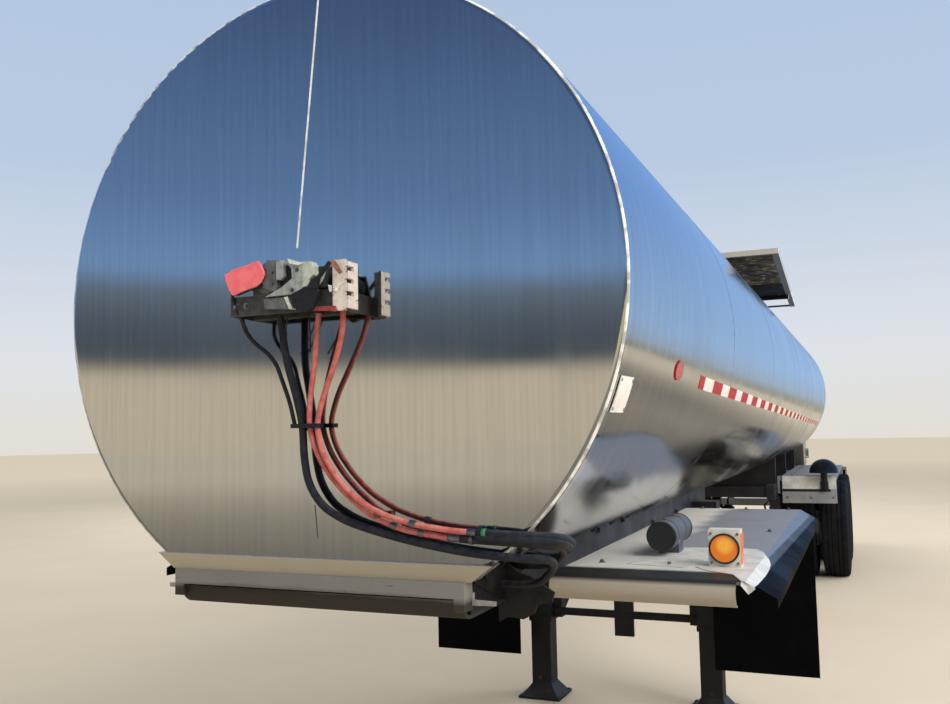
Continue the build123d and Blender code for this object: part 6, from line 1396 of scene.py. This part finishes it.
# White fold: bare bright sheet, nearly white.
bright_fold = weathered("white_fender_fold", "#dcdad4", "#c4c1b9", (0.3, 0.45), 0.3, 60, 1.2, 0.1)
piece("rear_fender_caps", caps, [bright_fold, seal_rubber, zinc_steel])


# Rear end: a stainless cabinet round the outlet with two doors, and a galvanised steel guard with
# the lamps. Grommets hold the lamps, tape, rivets and vents are fixed on, and a cap closes the outlet.

# Satin cabinet sheet: brushed upright, so it mirrors in soft tall streaks.
cabinet_sheet = weathered("satin_cabinet_sheet", "#b9bbbb", "#c9cac9", (0.2, 0.32), 1.0, 300,
                          1.5, 0.05, (1, 1, 30))
dress(cabinet_sheet, "rear_cabinet", "cabinet_door_left", "cabinet_door_right")
dress(stainless, "outlet_valve")
# Galvanised steel: light grey with fine spangle and a little rust.
guard_steel = weathered("galvanised_guard", "#9a9b99", "#b0b1ae", (0.4, 0.6), 0.7, 25, 1.5,
                        0.1, rust="#7a5336", rust_share=0.7, dust="#8b857a")
dress(guard_steel, "rear_bumper")
dress(red_acrylic, "tail_lamps")
lamp_back = 12.105
guard_back = 12.120
cabinet_side = 0.600
rear = bmesh.new()
for side in (-1, 1):
    for n in range(3):
        y = side * (0.64 + (n + 0.5) * 0.5 / 3)
        turned(rear, at(lamp_back + 0.0001, y, 0.980), (-1, 0, 0),
               [(0, 0.0585), (0.009, 0.0585), (0.012, 0.0565), (0.012, 0.0515), (0.002, 0.0515)], 0, 36)
    for z in (0.92, 1.04):
        for y in (0.655, 1.125):
            hex_bolt(rear, at(lamp_back + 0.0002, side * y, z), (-1, 0, 0), 0.008, 1)
tape_reach = 1.12
y = -tape_reach
n = 0
while y < tape_reach - 0.02:
    wide = min(0.28 if n % 2 == 0 else 0.18, tape_reach - y)
    block_at(rear, (guard_back + 0.0002, guard_back + 0.0009), (y, y + wide), (0.515, 0.565), 4 + n % 2)
    y += wide
    n += 1
for s in (11.66, 11.90, 12.12):
    for z in (1.09, 1.86):
        for side in (-1, 1):
            turned(rear, at(s, side * (cabinet_side + 0.0001), z), (0, side, 0),
                   [(0, 0.006), (0.0015, 0.005), (0.0025, 0.002)], 2, 10)
for side in (-1, 1):
    for n in range(5):
        z = 1.60 - 0.03 * n
        vent = sorted((side * (cabinet_side + 0.0001), side * (cabinet_side + 0.0065)))
        block_at(rear, (11.76, 11.96), vent, (z, z + 0.009), 2)
outlet_z = 1.330
for n in range(8):
    turn = 2 * math.pi * (n + 0.5) / 8
    spot = at(11.6522, 0.060 * math.cos(turn), outlet_z + 0.060 * math.sin(turn))
    hex_bolt(rear, spot, (-1, 0, 0), 0.011, 1)
turned(rear, at(11.9662, 0, outlet_z), (-1, 0, 0),
       [(-0.030, 0.0392), (-0.030, 0.047), (0.010, 0.047), (0.016, 0.041), (0.018, 0.020)], 3, 32)
cam_arm = ((11.955, 0.050, outlet_z), (11.935, 0.060, 1.322), (11.90, 0.062, 1.300))
for side in (-1, 1):
    tube(rear, [at(s, side * y, z) for s, y, z in cam_arm], 0.006, 1, 8)
    turned(rear, at(11.955, side * 0.046, 1.316), (0, 0, 1), [(0, 0.007), (0.028, 0.007)], 1, 10)
piece("rear_end_fittings", rear, [seal_rubber, zinc_steel, stainless, black_plastic, tape_red, tape_white])


# Door locks: a keyed catch with its bolts on each cabinet door, hinge rivets, tape along the foot
# and a rubber strip down the meeting edge, all moving with the door.
door_back = 12.191
for side, hand in ((1, "left"), (-1, "right")):
    lock = bmesh.new()
    y = side * 0.09
    turned(lock, at(door_back + 0.0052, y, 1.520), (-1, 0, 0),
           [(0, 0.0105), (0.003, 0.0105), (0.004, 0.009)], 0, 16)
    for dy in (-0.025, 0.025):
        for z in (1.435, 1.545):
            hex_bolt(lock, at(door_back + 0.0061, y + dy, z), (-1, 0, 0), 0.007, 0)
    for z in (1.25, 1.73):
        for dy, dz in ((0.012, -0.032), (0.012, 0.032), (0.026, 0.0)):
            turned(lock, at(door_back + 0.0002, side * (cabinet_side - dy * 0.4), z + dz), (-1, 0, 0),
                   [(0, 0.004), (0.001, 0.003)], 0, 8)
    for near_y, far_y, look in ((0.14, 0.32, 1), (0.32, 0.52, 2)):
        ends = sorted((side * near_y, side * far_y))
        block_at(lock, (door_back + 0.0001, door_back + 0.0007), ends, (1.115, 1.165), look)
    strip = ((-0.0005, 1.085), (0.0005, 1.090), (0.0005, 1.890), (-0.0005, 1.895))
    tube(lock, [at(door_back + ds, side * 0.012, z) for ds, z in strip], 0.003, 3, 8)
    piece("door_lock_" + hand, lock, [zinc_steel, tape_red, tape_white, seal_rubber],
          body="cabinet_door_" + hand)

size = {"cad": [list(v) for v in cad_box], "visual": [list(v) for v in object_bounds()]}
